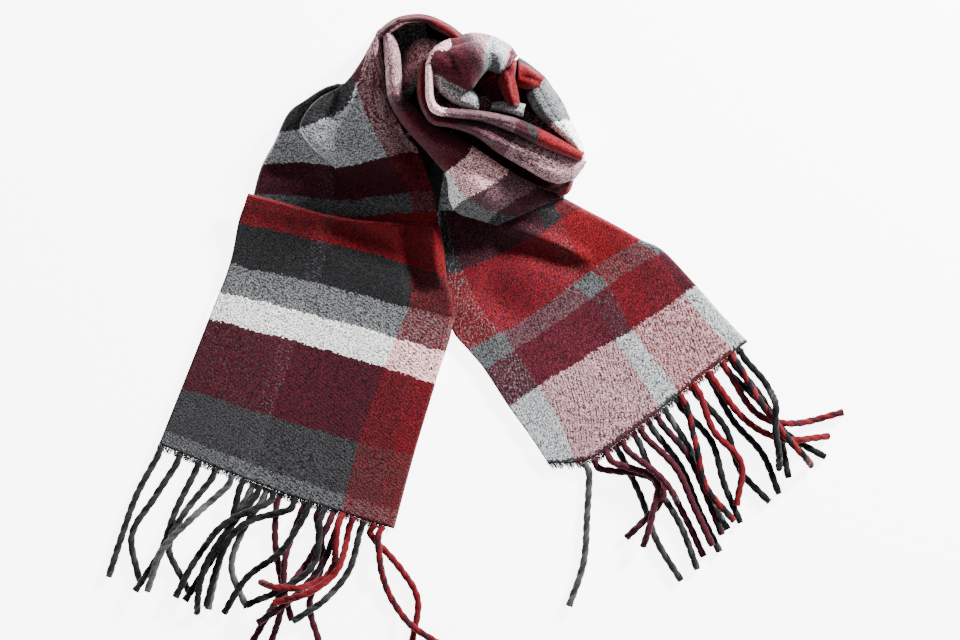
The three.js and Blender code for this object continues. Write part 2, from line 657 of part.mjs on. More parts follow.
// The bands, the uppermost first: their rows of points, the points in a row, and how far down from their
// inner face they keep other cloth away
const BANDS = table("name rows stations points floor", [
  ["knot_cap", KNOT.cap, 9, 9, 0],
  ["knot_inner_roll", KNOT.inner_roll, 14, 7, 29],
  ["knot_outer_roll", KNOT.outer_roll, 15, 8, 0],
  ["knot_red_fold", KNOT.red_fold, 5, 7, 41],
  ["knot_red_crossing", KNOT.red_crossing, 4, 7, 35],
  ["knot_outer_band", KNOT.outer_band, 10, 8, 0],
  ["knot_grey_fold", KNOT.grey_fold, 4, 7, 41],
  ["knot_inner_twill", KNOT.inner_twill, 6, 7, 41],
  ["knot_small_loop", KNOT.small_loop, 5, 7, 0],
  ["neck", NECK, 16, 9, 0],
  ["top_rim", TOP_RIM, 9, 8, 0],
  ["hollow_lining", HOLLOW, 5, 7, 0],
]);
const WING_FOOT = 0.6;
const FEWEST = { stations: 3, band: 7, net: 5 };

// Every sheet of cloth, the uppermost first. FINE is 1 for the walls and less for the core's rough shape.
function sheetsOf(fine) {
  const many = (count, fewest) => Math.max(fewest, Math.round(count * fine));
  const stations = (count) => many(count, FEWEST.stations);
  const bands = BANDS.map((band) => [
    band.name,
    bandGrid(band.rows, stations(band.stations), many(band.points, FEWEST.band)),
  ]);
  const upper = netGrid(LEFT_UPPER, stations(14), many(9, FEWEST.net));
  const wing = netGrid(LEFT_WING, stations(10), 5);
  return {
    ...Object.fromEntries(bands),
    right_tail: foldedRight(netGrid(RIGHT_TAIL, stations(12), 9)),
    left_tail: foldedRight(netGrid(LEFT_TAIL, stations(10), 8)),
    left_upper: turnedLeft(upper, LEFT_UPPER_FOOT),
    left_wing: turnedLeft(wing, LEFT_WING.map(() => WING_FOOT)),
  };
}

// The crest of the tuck, where the left tail turns down and back under itself
const SUNK = { start: { back: 0.4, down: 0.6 }, edge: { back: 0.08, down: 0.4 } };
function crestTurn(grid, points) {
  const crest = grid.at(-1).slice(0, points);
  const before = grid.at(-2).slice(0, points);
  const turned = CREST_TURN.map((turn) =>
    crest.map((point, j) => {
      const on = point.clone().sub(before[j]).setZ(0).normalize();
      const down = turn.down * Math.min(1, (point.z - FRONT_TOP) / 10);
      return point.clone().addScaledVector(on, -turn.back).setZ(point.z - down);
    }),
  );
  const sunk = ({ back, down }) =>
    crest.map((point, j) => point.clone().lerp(before[j], back).setZ(point.z - down * CLOTH));
  return [sunk(SUNK.start), sunk(SUNK.edge), ...turned];
}

// The walls, each cut back where a stretch that lies over it needs its room
const bodies = {};
const rooms = [];
const FLAT = new Set(["right_tail", "left_tail"]);
const TURNED = new Set(["left_upper", "left_wing"]);
const FLOORS = Object.fromEntries(BANDS.map((band) => [band.name, band.floor]));
const sheets = sheetsOf(1);
const tuck = crestTurn(sheets.left_tail, 7);
for (const [name, grid] of Object.entries(sheets)) {
  let body = wall(grid);
  if (name === "left_tail") body = body.add(wall(tuck));
  const uncut = body;
  const near = [...rooms, ...Object.values(bodies)].filter((other) => uncut.intersect(other).volume() > 0);
  for (const other of near) body = body.subtract(other);
  bodies[name] = whole(body);
  rooms.push(room(grid, SEAM));
  if (name === "left_tail") rooms.push(room(tuck, SEAM));
  if (!FLAT.has(name)) rooms.push(under(grid, SEAM, TURNED.has(name), FLOORS[name]));
}

// The hidden layers inside the wound part, as one rounded body, clear of the cloth round it
function block({ outline, top }) {
  const shape = new THREE.Shape(outline.map((place) => new THREE.Vector2(place.x, place.y)));
  const edge = { bevelThickness: CORE_ROUND, bevelSize: CORE_ROUND, bevelOffset: -CORE_ROUND };
  const settings = { depth: top - 2 * CORE_ROUND, bevelSegments: 2, ...edge };
  const geometry = new THREE.ExtrudeGeometry(shape, settings);
  return solid(bare(geometry.translate(0, 0, CORE_ROUND)));
}
const rough = sheetsOf(0.55);
const upperFill = under(rough.left_upper.slice(2, -1).map((row) => row.slice(0, -1)), CORE_GAP, true);
const wingFill = under(rough.left_wing.slice(2, -1), CORE_GAP, true);
const neckFill = under(rough.neck.slice(3, -1), CORE_GAP, false);
const fills = [upperFill, wingFill, neckFill, ...CORE_BLOCKS.map(block)];
let core = fills.reduce((body, fill) => body.add(fill));
for (const [name, body] of Object.entries(bodies))
  if (core.intersect(body).volume() > 0) core = core.subtract(room(sheets[name], SEAM)).subtract(body);
bodies.wound_core = whole(core);
bodies.left_fringe = fringe(sheets.left_tail, 8, LEFT_FRINGE);
bodies.right_fringe = fringe(sheets.right_tail, 9, RIGHT_FRINGE);

// Plain colours that tell the pieces apart
const COLOURS = table("word colour", [
  ["red", "#a8141e"],
  ["roll", "#5a1a28"],
  ["cap", "#5a1a28"],
  ["rim", "#5a1a28"],
  ["grey", "#6c7074"],
  ["upper", "#6c7074"],
  ["wing", "#6c7074"],
  ["core", "#2a2a2c"],
]);
const OTHER_COLOUR = "#8f9496";
const colourOf = (name) => COLOURS.find((one) => name.includes(one.word))?.colour ?? OTHER_COLOUR;

const group = new THREE.Group();
for (const [name, body] of Object.entries(bodies)) {
  const made = body.getMesh();
  const geometry = new THREE.BufferGeometry();
  geometry.setAttribute("position", new THREE.Float32BufferAttribute(made.vertProperties, 3));
  geometry.setIndex(Array.from(made.triVerts));
  const material = new THREE.MeshStandardMaterial({ color: colourOf(name), roughness: 0.95, metalness: 0 });
  const mesh = new THREE.Mesh(geometry, material);
  mesh.name = name;
  group.add(mesh);
}

export default group;
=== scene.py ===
# A checked scarf of brushed wool, folded along its length, wound into a knot and laid on a table with its two
# fringed tails fanned out. Places in the tables are in millimetres, and meshes are in metres.
import math

import bpy
import numpy as np
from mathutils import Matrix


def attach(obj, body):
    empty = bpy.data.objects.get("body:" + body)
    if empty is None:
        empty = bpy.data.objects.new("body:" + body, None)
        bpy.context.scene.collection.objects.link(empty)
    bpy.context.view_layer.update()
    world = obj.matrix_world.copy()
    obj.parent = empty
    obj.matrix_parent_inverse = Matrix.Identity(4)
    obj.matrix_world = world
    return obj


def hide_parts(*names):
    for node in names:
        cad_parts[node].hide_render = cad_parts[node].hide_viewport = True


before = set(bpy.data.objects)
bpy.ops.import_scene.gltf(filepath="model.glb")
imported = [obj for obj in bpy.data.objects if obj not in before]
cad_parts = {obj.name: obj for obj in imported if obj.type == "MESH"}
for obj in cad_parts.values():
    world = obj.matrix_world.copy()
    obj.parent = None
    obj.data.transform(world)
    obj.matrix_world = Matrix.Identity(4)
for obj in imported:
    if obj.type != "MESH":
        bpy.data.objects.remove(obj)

bl_info = {
    "name": "Checked Scarf",
    "version": (1, 0, 0),
    "blender": (4, 5, 0),
    "location": "View3D > Sidebar > Scarf",
    "description": "Makes a checked wool scarf, wound into a knot, with twisted fringes",
    "category": "Add Mesh",
}

MM = 0.001

# The places in the tables are read off a view from straight above: EYE is its height, AXIS the point under it
EYE = 1500
AXIS = np.array([2.5, 7.5])
FRONT_TOP = 5  # the upper face of the front layer where a folded tail lies flat
ROLL = 3  # the radius of an edge that turns down

# The warp stripes from one selvage to the other: the colour of the threads, their width, and how much of the
# face they take. The weft stripes of one repeat fill the rest.
WARP = [("dark_grey", 46, 0.26), ("grey", 11, 0.2), ("black", 57, 0.24), ("rust", 20, 0.5), ("red", 20, 0.5),
        ("grey", 14, 0.22), ("plum", 58, 0.44), ("light_grey", 26, 0.3)]
WEFT = [("burgundy", 41), ("white", 18), ("light_grey", 18), ("charcoal", 25), ("red", 50), ("grey", 11),
        ("burgundy", 27), ("pale_grey", 35), ("dark_grey", 40)]
WEFT_START = 37  # the first repeat, measured from the hem of the left tail
HEM_BAND = 9  # the light end of the left tail


def linear(red, green, blue):
    """A colour as it looks on a screen, 0 to 255, in the light's own scale."""
    shares = [value / 255 for value in (red, green, blue)]
    return tuple(s / 12.92 if s <= 0.04045 else ((s + 0.055) / 1.055) ** 2.4 for s in shares)


def size(name, description, default, **more):
    """A length that a user may change."""
    return bpy.props.FloatProperty(name=name, description=description, default=default, unit="LENGTH",
                                   subtype="DISTANCE", precision=5, **more)


def colour(name, description, default):
    """A yarn's colour that a user may change."""
    return bpy.props.FloatVectorProperty(name=name, description=description, default=linear(*default),
                                         subtype="COLOR", size=3, min=0, max=1)


class ScarfSizes(bpy.types.PropertyGroup):
    """The sizes of the cloth and its yarn"""
    cloth: size("Cloth", "Thickness of the brushed wool", 0.0016)
    mesh_step: size("Mesh step", "Distance between the points of a sheet", 0.0014)
    strand: size("Strand radius", "Half the width of a twisted fringe strand", 0.0024)
    pitch: size("Twist", "Length of one turn of a strand's two plies", 0.014)
    strand_step: size("Strand step", "Distance between the rings of a strand", 0.0011)
    twill: size("Twill", "Distance between the diagonal lines of the weave", 0.0018)
    grain: size("Grain", "Size of the tufts of the brushed face", 0.0009)
    fray: size("Fray", "Length of the loose ends along a hem", 0.0045)
    crease: bpy.props.FloatProperty(name="Creases", description="Depth of all creases, 1 as laid", default=1)


class ScarfColours(bpy.types.PropertyGroup):
    """The colours of the yarns"""
    burgundy: colour("Burgundy", "Wine red yarn", (60, 12, 25))
    red: colour("Red", "Bright red yarn", (98, 6, 17))
    rust: colour("Rust", "Dull red yarn", (88, 16, 24))
    plum: colour("Plum", "Muted wine yarn of the pinkish checks", (78, 26, 40))
    black: colour("Black", "Black yarn", (14, 14, 16))
    charcoal: colour("Charcoal", "Darkest grey yarn", (28, 28, 30))
    dark_grey: colour("Dark grey", "Dark grey yarn", (48, 48, 50))
    grey: colour("Grey", "Grey yarn of the narrow band", (72, 74, 76))
    light_grey: colour("Light grey", "Middle grey yarn", (96, 100, 102))
    pale_grey: colour("Pale grey", "Pale grey yarn", (158, 163, 165))
    white: colour("White", "Undyed yarn", (236, 238, 236))


def table(names, rows, **same):
    """Rows of numbers with named columns, and the values that all of the rows share."""
    own = [name for name in names.split() if name not in same]
    return [dict(zip(own, row)) | same for row in rows]


# Weft lines by their places, x y z, from the left edge to the right one, and the threads that meet at their
# two ends, in millimetres of cut cloth: warp left, warp right, weft left, weft right. The tails run up from
# the hem, the left one to the crest of the tuck and the right one to where it lies under the neck. left_upper
# is the stretch above the tuck, up to the apex, and left_wing the outer layer, which runs under its lip.
NETS = {
    "left_tail": [
        ([(-198, -70, 5), (-122, -100, 5), (-51, -123, 5)], 0, 150, 0, 0),
        ([(-184, -35, 5), (-110, -58, 5), (-39, -78, 5)], 0, 150, 37, 37),
        ([(-167, 8, 5), (-96, -11, 5), (-25.5, -33, 6)], 0, 148, 78, 78),
        ([(-154, 42, 6), (-84, 26, 6), (-14, 7, 8)], 0, 143, 114, 114),
        ([(-148.5, 68, 10), (-81, 52, 8), (-18, 34, 11)], 0, 140, 139, 139),
        ([(-144.5, 80, 15), (-78, 64, 11), (-20, 54, 13)], 0, 138, 152, 158),
        ([(-143, 85, 17), (-77, 69, 12.5), (-22, 66, 13.5)], 0, 136, 158, 180),
    ],
    "left_upper": [
        ([(-92, 62, 4.4), (-76, 60, 4.4), (-58, 60, 6), (-40, 60, 9), (-23, 62, 12)], 57, 130, 176, 176),
        ([(-90, 82, 5), (-76, 82, 5.5), (-60, 84, 9), (-44, 86, 14), (-27, 88, 14)], 58, 130, 200, 200),
        ([(-88, 102, 15), (-76, 104, 17), (-63, 108, 19), (-50, 111, 20), (-35, 112, 16)],
         74, 136, 227, 227),
        ([(-100, 113, 24), (-85, 116, 25), (-70, 119, 25), (-57, 121, 25), (-43, 122, 20)],
         75, 133, 249, 246),
        ([(-110, 126, 29), (-93, 128, 31), (-77, 130, 30), (-63, 132, 30), (-49, 132, 24)],
         72, 134, 261, 254),
        ([(-106, 138, 31), (-93, 139, 34), (-80, 140, 34), (-67, 141, 34), (-54, 141, 27)],
         79, 131, 270, 254),
        ([(-97, 147, 33), (-88, 149, 36), (-78, 150, 38), (-67, 152, 39), (-57, 152, 32)],
         89, 131, 277, 251),
        ([(-83, 155, 36), (-78, 159, 40), (-72, 161, 42), (-65, 163, 43), (-58.5, 165, 37)],
         105, 131, 276, 248),
        ([(-72, 169, 42), (-69, 171, 45), (-66, 173, 47), (-62.5, 175, 47), (-59.5, 177, 43)],
         118, 132, 268, 244),
        ([(-63, 185.5, 47), (-62.4, 185.7, 48.5), (-61.8, 186, 49), (-61.2, 186.2, 49), (-60.4, 186.4, 46)],
         124, 130, 256, 240),
    ],
    "left_wing": [
        ([(-141, 72, 4.6), (-118, 68, 4.4), (-90.6, 62, 4.4)], 6, 56, 176, 176),
        ([(-139, 86, 6), (-115, 85, 5.5), (-88.6, 82, 5)], 6, 57, 200, 200),
        ([(-134, 104, 9), (-111, 106, 10), (-86.4, 103, 13)], 8, 60, 227, 227),
        ([(-126, 119, 12), (-110, 119, 13), (-92, 119, 13)], 12, 48, 256, 253),
        ([(-118, 136, 16), (-106, 135, 16.5), (-91, 134, 15)], 14, 42, 272, 268),
        ([(-108, 144.5, 19), (-98, 144, 19), (-85, 143, 17)], 14, 38, 283, 280),
        ([(-94, 153, 22), (-87, 151, 22), (-78, 149, 20)], 14, 32, 289, 288),
        ([(-84, 155, 24), (-80, 154.5, 24), (-74, 152, 22)], 14, 26, 292, 291),
    ],
    "right_tail": [
        ([(45, -82, 5), (72, -79, 5), (107, -55, 5), (139, -29, 5), (170, -6, 5)], 250, 104, 264.5, 264.5),
        ([(33, -64, 5), (63, -50, 5), (94, -31, 5), (124, -11, 5), (153, 12, 5)], 250, 104, 246, 246),
        ([(20, -46, 5), (49, -27, 5), (79, -9, 5), (108, 9, 5), (137, 30, 5)], 250, 105, 227, 227),
        ([(5, -23, 5), (33, -5, 5), (61, 14, 5.4), (90, 35, 5.6), (117, 51, 6)], 250, 110, 200, 200),
        ([(-5, -11, 5), (25, 5, 5.4), (50, 22, 6), (77, 42, 7), (103, 58, 8)], 250, 114, 189, 189),
        ([(-15.4, 3, 5), (13, 22, 6), (38, 37, 9), (64, 54, 11), (88, 66.5, 11)], 246, 120, 170, 170),
        ([(-19, 33, 4.6), (10, 45, 7), (32, 56, 13), (50, 67, 16), (67, 77.5, 14)], 236, 135, 141, 141),
        ([(-21.5, 53, 4.6), (4, 58, 7.5), (23, 66, 15), (40, 76, 22), (54, 84.5, 18)], 232, 145, 127, 127),
        ([(-24, 76, 4.6), (-1, 76, 7), (18, 77, 14), (34, 82, 22.5), (46, 88.5, 21)], 230, 150, 119, 119),
    ],
}
# The heights that the left edges of the upper stretch and of the wing turn down to, line by line
LEFT_FEET = {"left_upper": [3, 3, 9, 14, 17, 18, 18, 4, 1, 1], "left_wing": [0.6] * 8}
# The crest turns down and back under itself: how far back from the crest, and how far down
CREST_TURN = [(-0.8, 0.7), (-1.4, 2), (-1.8, 3.6), (-1.6, 5), (-0.4, 6.5), (1.4, 7.5)]

# Rolls and bands of cloth, by the two edges of their width as seen (lx ly and rx ry), the heights of the
# crown and of the two feet, where the crown lies (edge, 0.5 in the middle), and the threads along both edges
BAND = "lx ly rx ry top lfoot rfoot edge warp_left warp_right weft_left weft_right"
BANDS = {
    "neck": table(BAND, [
        (-54.5, 190, -58, 187, 50, 30, 30, 0.5, 214, -38, -38),
        (-49.5, 182, -58, 178, 53, 30, 32, 0.5, 214, -30, -30),
        (-46, 167, -56, 166, 55, 28, 32, 0.5, 216, -15, -15),
        (-44, 150, -55, 148, 54, 28, 26, 0.5, 218, -3, -3),
        (-37, 139, -50, 136, 52, 28, 20, 0.5, 224, 37, 37),
        (-26, 129, -41, 123.5, 49, 28, 14, 0.5, 232, 55, 52),
        (-8, 120.5, -29, 110, 46, 26, 10, 0.45, 242, 75, 64),
        (6, 111, -19, 97, 43, 22, 9, 0.45, 250, 86, 78),
        (22, 100.5, -17.5, 83, 39, 18, 8.5, 0.45, 256, 99, 87),
        (36, 92.5, -12, 74, 34, 12, 8.5, 0.45, 262, 116, 96),
        (46, 89, 1, 69.8, 29, 8, 9, 0.45, 262, 128, 106),
        (55.5, 85, 12.6, 66.2, 24.6, 9, 12, 0.42, 262, 134, 116),
    ], warp_left=168),
    "top_rim": table(BAND, [
        (-61, 188.5, -56.5, 184, 50, 36, 130, 190, 50, 90),
        (-56.6, 193.4, -51, 188, 54, 38, 130, 190, 50, 94),
        (-47.5, 198.2, -44, 191, 56, 40, 130, 190, 50, 94),
        (-34, 199.4, -34, 192.5, 56, 40, 128, 190, 48, 86),
        (-22.5, 196, -26, 189, 55, 40, 124, 180, 45, 74), (-13, 190, -17, 184, 55, 40, 120, 170, 45, 70),
        (-5, 184, -10, 178, 54, 40, 118, 170, 45, 70),
    ], lfoot=1, edge=0.5),
    "hollow_lining": table(BAND, [
        (-22, 180, -30, 165, 44, 24, 24, -6, -10), (-33, 182, -34, 160, 42, 20, 20, -16, -20),
        (-42, 176, -40, 150, 36, 12, 12, -26, -30), (-46, 170, -45, 146, 30, 10, 10, -34, -38),
    ], edge=0.5, warp_left=200, warp_right=240),
    "knot_cap": table(BAND, [
        (-33, 168, -27, 163, 63, 40, 44, 0.5, 170, 222, 93, 58),
        (-27, 177, -14, 155, 70, 26, 46, 0.4, 170, 222, 90, 54),
        (-15, 184, -4, 151, 75, 10, 46, 0.45, 172, 222, 84, 50),
        (-2, 187.5, 2, 157, 77, 1, 46, 0.5, 190, 230, -26, 60),
        (12, 185, 7, 163, 75, 1, 46, 0.5, 228, 250, -32, 20),
        (21, 180, 14, 161, 71, 1, 46, 0.5, 226, 250, -34, 10),
        (26.4, 173, 20, 163, 65, 2, 46, 0.5, 134, 150, -90, -90),
    ]),
    "knot_inner_twill": table(BAND, [
        (-23, 165, -28, 160, 61, 46, 44, -8, -8), (-13, 160, -24, 151, 60, 44, 42, -16, -16),
        (-4, 154, -15, 143.5, 58, 42, 42, -24, -24), (1, 148, -4, 139, 56, 42, 42, -30, -30),
        (3, 143, 1, 137, 54, 42, 42, -34, -34),
    ], edge=0.5, warp_left=226, warp_right=250),
    "knot_red_fold": table(BAND, [
        (25.5, 170, 18, 164, 66, 44, 44, 160, 150, 150), (25, 161, 13.5, 158, 67, 42, 42, 150, 160, 160),
        (26.6, 152, 15.5, 151, 65, 42, 42, 150, 172, 172), (27.5, 141, 20, 141, 60, 42, 42, 150, 192, 192),
    ], edge=0.5, warp_left=116),
    "knot_red_crossing": table(BAND, [
        (27, 169, 25, 153, 59, 40, 44, 150, 150), (35, 165, 33, 151.5, 60, 38, 44, 162, 162),
        (43, 160, 40, 153, 56, 36, 42, 174, 174),
    ], edge=0.5, warp_left=116, warp_right=150),
    "knot_outer_band": table(BAND, [
        (27, 172, 26, 163, 52, 1, 34, 100, 62, 136, 136),
        (34, 167.5, 30, 156, 53, 1, 34, 122, 60, 124, 124),
        (45.5, 157.5, 32, 146, 54, 1, 34, 122, 60, 112, 112),
        (54, 142, 38, 136, 53, 1, 36, 124, 60, 102, 102), (61, 130, 48, 127, 51, 1, 36, 126, 60, 94, 94),
        (67, 116, 58, 118, 47, 1, 36, 128, 60, 86, 86), (68, 108, 65, 112, 42, 2, 34, 130, 62, 81, 81),
    ], edge=0.5),
    "knot_grey_fold": table(BAND, [
        (10, 144, 9, 138, 53, -2, -2), (20, 144.5, 19, 137, 55, -10, -10),
        (31, 142.5, 29, 134, 54, -20, -20),
    ], lfoot=42, rfoot=42, edge=0.5, warp_left=70, warp_right=100),
    "knot_inner_roll": table(BAND, [
        (-26, 168, -32, 166, 66, 44, 44, 172, 222, 80, 80),
        (-26.5, 156, -32, 156, 68, 44, 44, 172, 222, 84, 84),
        (-25.5, 145, -31.5, 145, 67, 44, 44, 172, 222, 89, 89),
        (-21, 140.6, -27, 136.5, 66, 44, 44, 172, 222, 94, 94),
        (-12, 139.6, -13, 133.6, 65, 44, 44, 172, 222, 99, 99),
        (6, 138.2, 4, 131, 64, 43, 43, 168, 222, 106, 106),
        (26, 133.5, 22, 125, 62, 42, 42, 160, 220, 113, 113),
        (44, 125, 39, 117, 58, 40, 40, 124, 180, 143, 143),
        (58, 117.5, 54, 111, 53, 36, 36, 118, 168, 160, 160),
        (68, 112, 65, 107, 47, 30, 32, 118, 160, 172, 172),
    ], edge=0.5),
    "knot_outer_roll": table(BAND, [
        (-31, 170.5, -35, 168, 60, 40, 30, 116, 160, 70, 70),
        (-31, 157, -37, 157, 62, 42, 28, 116, 160, 65, 65),
        (-30.5, 145, -36, 144, 61, 42, 26, 120, 170, 60, 60),
        (-25, 136, -29, 131, 60, 42, 26, 140, 200, 52, 52),
        (-11, 133.5, -16, 126.5, 59, 42, 26, 160, 214, 40, 40),
        (5, 131, -2, 120.5, 58, 41, 25, 170, 222, 12, 12), (22, 125, 14, 111, 55, 40, 22, 170, 222, 0, 0),
        (38, 118, 31, 102, 52, 38, 18, 170, 226, -12, -12),
        (52, 111.5, 47, 93.5, 47, 34, 12, 172, 240, -24, -24),
        (63, 107.5, 59.5, 94, 40, 30, 8, 172, 250, -33, -33),
        (69, 107, 67, 102.5, 34, 24, 10, 172, 240, -38, -38),
    ], edge=0.5),
    "knot_small_loop": table(BAND, [
        (60.5, 100, 57, 100, 31, 12, 18, 160, 78, 78), (61, 94, 56, 93, 32, 10, 20, 170, 74, 74),
        (58.5, 87.5, 53, 90.5, 31, 16, 23, 180, 68, 68), (53, 84, 47.5, 89.5, 29, 12, 20, 190, 62, 62),
    ], edge=0.5, warp_left=120),
}

# Creases by their two ends as seen, how far they bow to the left, their half width and their height
CREASE = "x1 y1 x2 y2 bow width height"
CREASES = {name: table(CREASE, rows) for name, rows in {
    "left_tail": [
        (-25, 84, -21, 26, -2, 6, 4.5), (-100, 66, -34, 44, -5, 9, -4.6), (-46, 68, -36, 20, 0, 6, -4.2),
        (-120, 72, -60, 66, 3, 5, 1.2), (-150, 30, -118, -60, 4, 16, 0.9),
        (-84, 10, -96, -92, -6, 18, -0.8), (-44, 0, -66, -100, 5, 12, 0.9),
    ],
    "left_upper": [
        (-75, 157, -90, 134, 3, 3.2, 3.4), (-85, 149, -99, 132, 2, 3.6, -3),
        (-66, 172, -74, 142, 2, 3.6, -1.6), (-60, 182, -56, 126, -3, 4, 2.2),
        (-92, 92, -38, 96, -4, 7, -4.5), (-78, 112, -40, 104, 2, 5, 1.8), (-58, 82, -30, 78, 1, 5, 1.6),
        (-84, 78, -34, 66, 3, 6, -2.2), (-104, 122, -72, 112, -4, 5, 1.6), (-48, 128, -36, 96, 2, 5, -2.4),
    ],
    "left_wing": [
        (-136, 92, -104, 92, 2, 5, 1.8), (-132, 100, -96, 97, 3, 4, -1.8),
        (-122, 130, -104, 112, -3, 4, -1.6), (-112, 142, -92, 146, 2, 3, 1.2),
    ],
    "right_tail": [
        (12, 68, 74, 43, 3, 4.5, 3.4), (8, 56, 70, 34, 3, 8, -3.4), (-12, 20, 16, -10, 5, 9, 1.8),
        (0, 30, 40, 6, -4, 12, -2.2), (80, 60, 128, 28, 3, 8, 1), (60, 14, 112, -36, -6, 14, -0.8),
        (120, 20, 150, -16, 3, 9, 0.8), (30, -20, 58, -72, 5, 12, 0.7),
    ],
    "neck": [
        (-46, 172, -46, 132, 3, 3, -1.8), (-53, 182, -50, 142, -2, 3, 1.4), (-22, 118, 22, 92, -3, 5, -1.6),
        (-34, 122, 4, 104, 2, 4, 1.2), (-10, 104, 12, 74, 4, 5, 1.2),
    ],
    "top_rim": [
        (-52, 194, -26, 194, -3, 2.4, -1.4), (-30, 196, -12, 186, 0, 3, 1.2),
    ],
    "knot_cap": [
        (-22, 176, -8, 152, 3, 3.4, -1.8), (-8, 182, 6, 160, 2, 4, 1.4), (8, 184, 12, 164, -1, 3, -2.4),
        (-30, 169, -12, 184, 4, 2.4, 1.4),
    ],
    "knot_outer_roll": [
        (-24, 131, 62, 99, -2, 2.6, -2.2), (-4, 128, 30, 112, -1, 2.2, 1.2),
    ],
    "knot_inner_roll": [
        (-14, 136, 44, 122, 2, 1.8, -1.2),
    ],
    "knot_red_fold": [
        (19, 166, 24, 146, 2, 1.6, -1.8), (24, 168, 18, 152, 1, 1.4, 1.2),
    ],
    "knot_red_crossing": [
        (27, 160, 42, 155, 1, 1.6, -1.6), (30, 166, 40, 159, -1, 1.4, 1.2),
    ],
    "knot_outer_band": [
        (36, 160, 60, 122, -2, 2.6, -1.8), (44, 152, 56, 134, 2, 2.4, 1.2),
    ],
    "knot_inner_twill": [
        (-24, 158, -4, 144, 2, 2, -1.4),
    ],
}.items()}

# Folds that run along a band, by their place on its arch from the left foot, 0, to the right foot, 1, how
# far they drift and waver along the band, their half width in shares of the arch, and their height
FOLD = "at drift waver width height"
FOLDS = {name: table(FOLD, rows) for name, rows in {
    "top_rim": [
        (0.1, 0.04, 0.02, 0.03, -3), (0.2, -0.05, 0.02, 0.035, -3.4), (0.29, 0.03, 0.015, 0.025, -2),
    ],
    "knot_cap": [
        (0.1, 0.05, 0.02, 0.03, -3.4), (0.19, -0.04, 0.03, 0.03, -3), (0.3, 0.06, 0.02, 0.03, -2.2),
    ],
    "knot_outer_band": [
        (0.12, -0.05, 0.02, 0.035, -3.2), (0.24, 0.05, 0.02, 0.03, -2.6),
    ],
    "neck": [
        (0.12, 0.05, 0.02, 0.03, -1.8), (0.9, -0.03, 0.02, 0.03, -1.6),
    ],
    "knot_outer_roll": [
        (0.86, 0.03, 0.02, 0.03, -1.8),
    ],
}.items()}
FOLD_WAVES, FOLD_PHASE = 9, 2.3  # how often a fold wavers along its band, and how unlike the next one

# The hidden layers, by their tops and outlines, which show only as dark folds between the rolls
LAYER = 6  # the height of one folded layer
FILL_GAP = 2.6  # from the face of the cloth down to the layers that lie under it
CORE_BLOCKS = [
    (5, [(-118, 106), (-106, 130), (-80, 144), (-60, 172), (-62.5, 187), (-54, 191.5), (-44, 194),
         (-33, 195.5), (-24, 192.5), (-15, 187), (-8, 181), (8, 176), (22, 166), (34, 163), (46, 150),
         (60, 126), (62, 112), (60, 96), (54, 86), (38, 85), (8, 88), (-8, 84), (-14, 64), (-29, 60),
         (-33, 90), (-37, 104), (-60, 104)]),
    (20, [(-64, 180), (-58, 186), (-50, 184), (-48, 160), (-44, 148), (-38, 136), (-44, 130), (-54, 134),
         (-62, 150), (-64, 166)]),
    (33, [(-28, 164), (-22, 171), (-12, 177), (-2, 180), (9, 178), (16, 173), (25, 169), (34, 161),
         (40, 152), (48, 138), (55, 127), (60, 114), (58, 106), (47, 103), (33, 110), (17, 118), (2, 126),
         (-12, 132), (-25, 138)]),
    (41, [(-23, 162), (-12, 166), (2, 168), (13, 165), (21, 157), (23, 146), (28, 136), (36, 127), (22, 129),
         (4, 134), (-12, 138), (-21, 143)]),
]

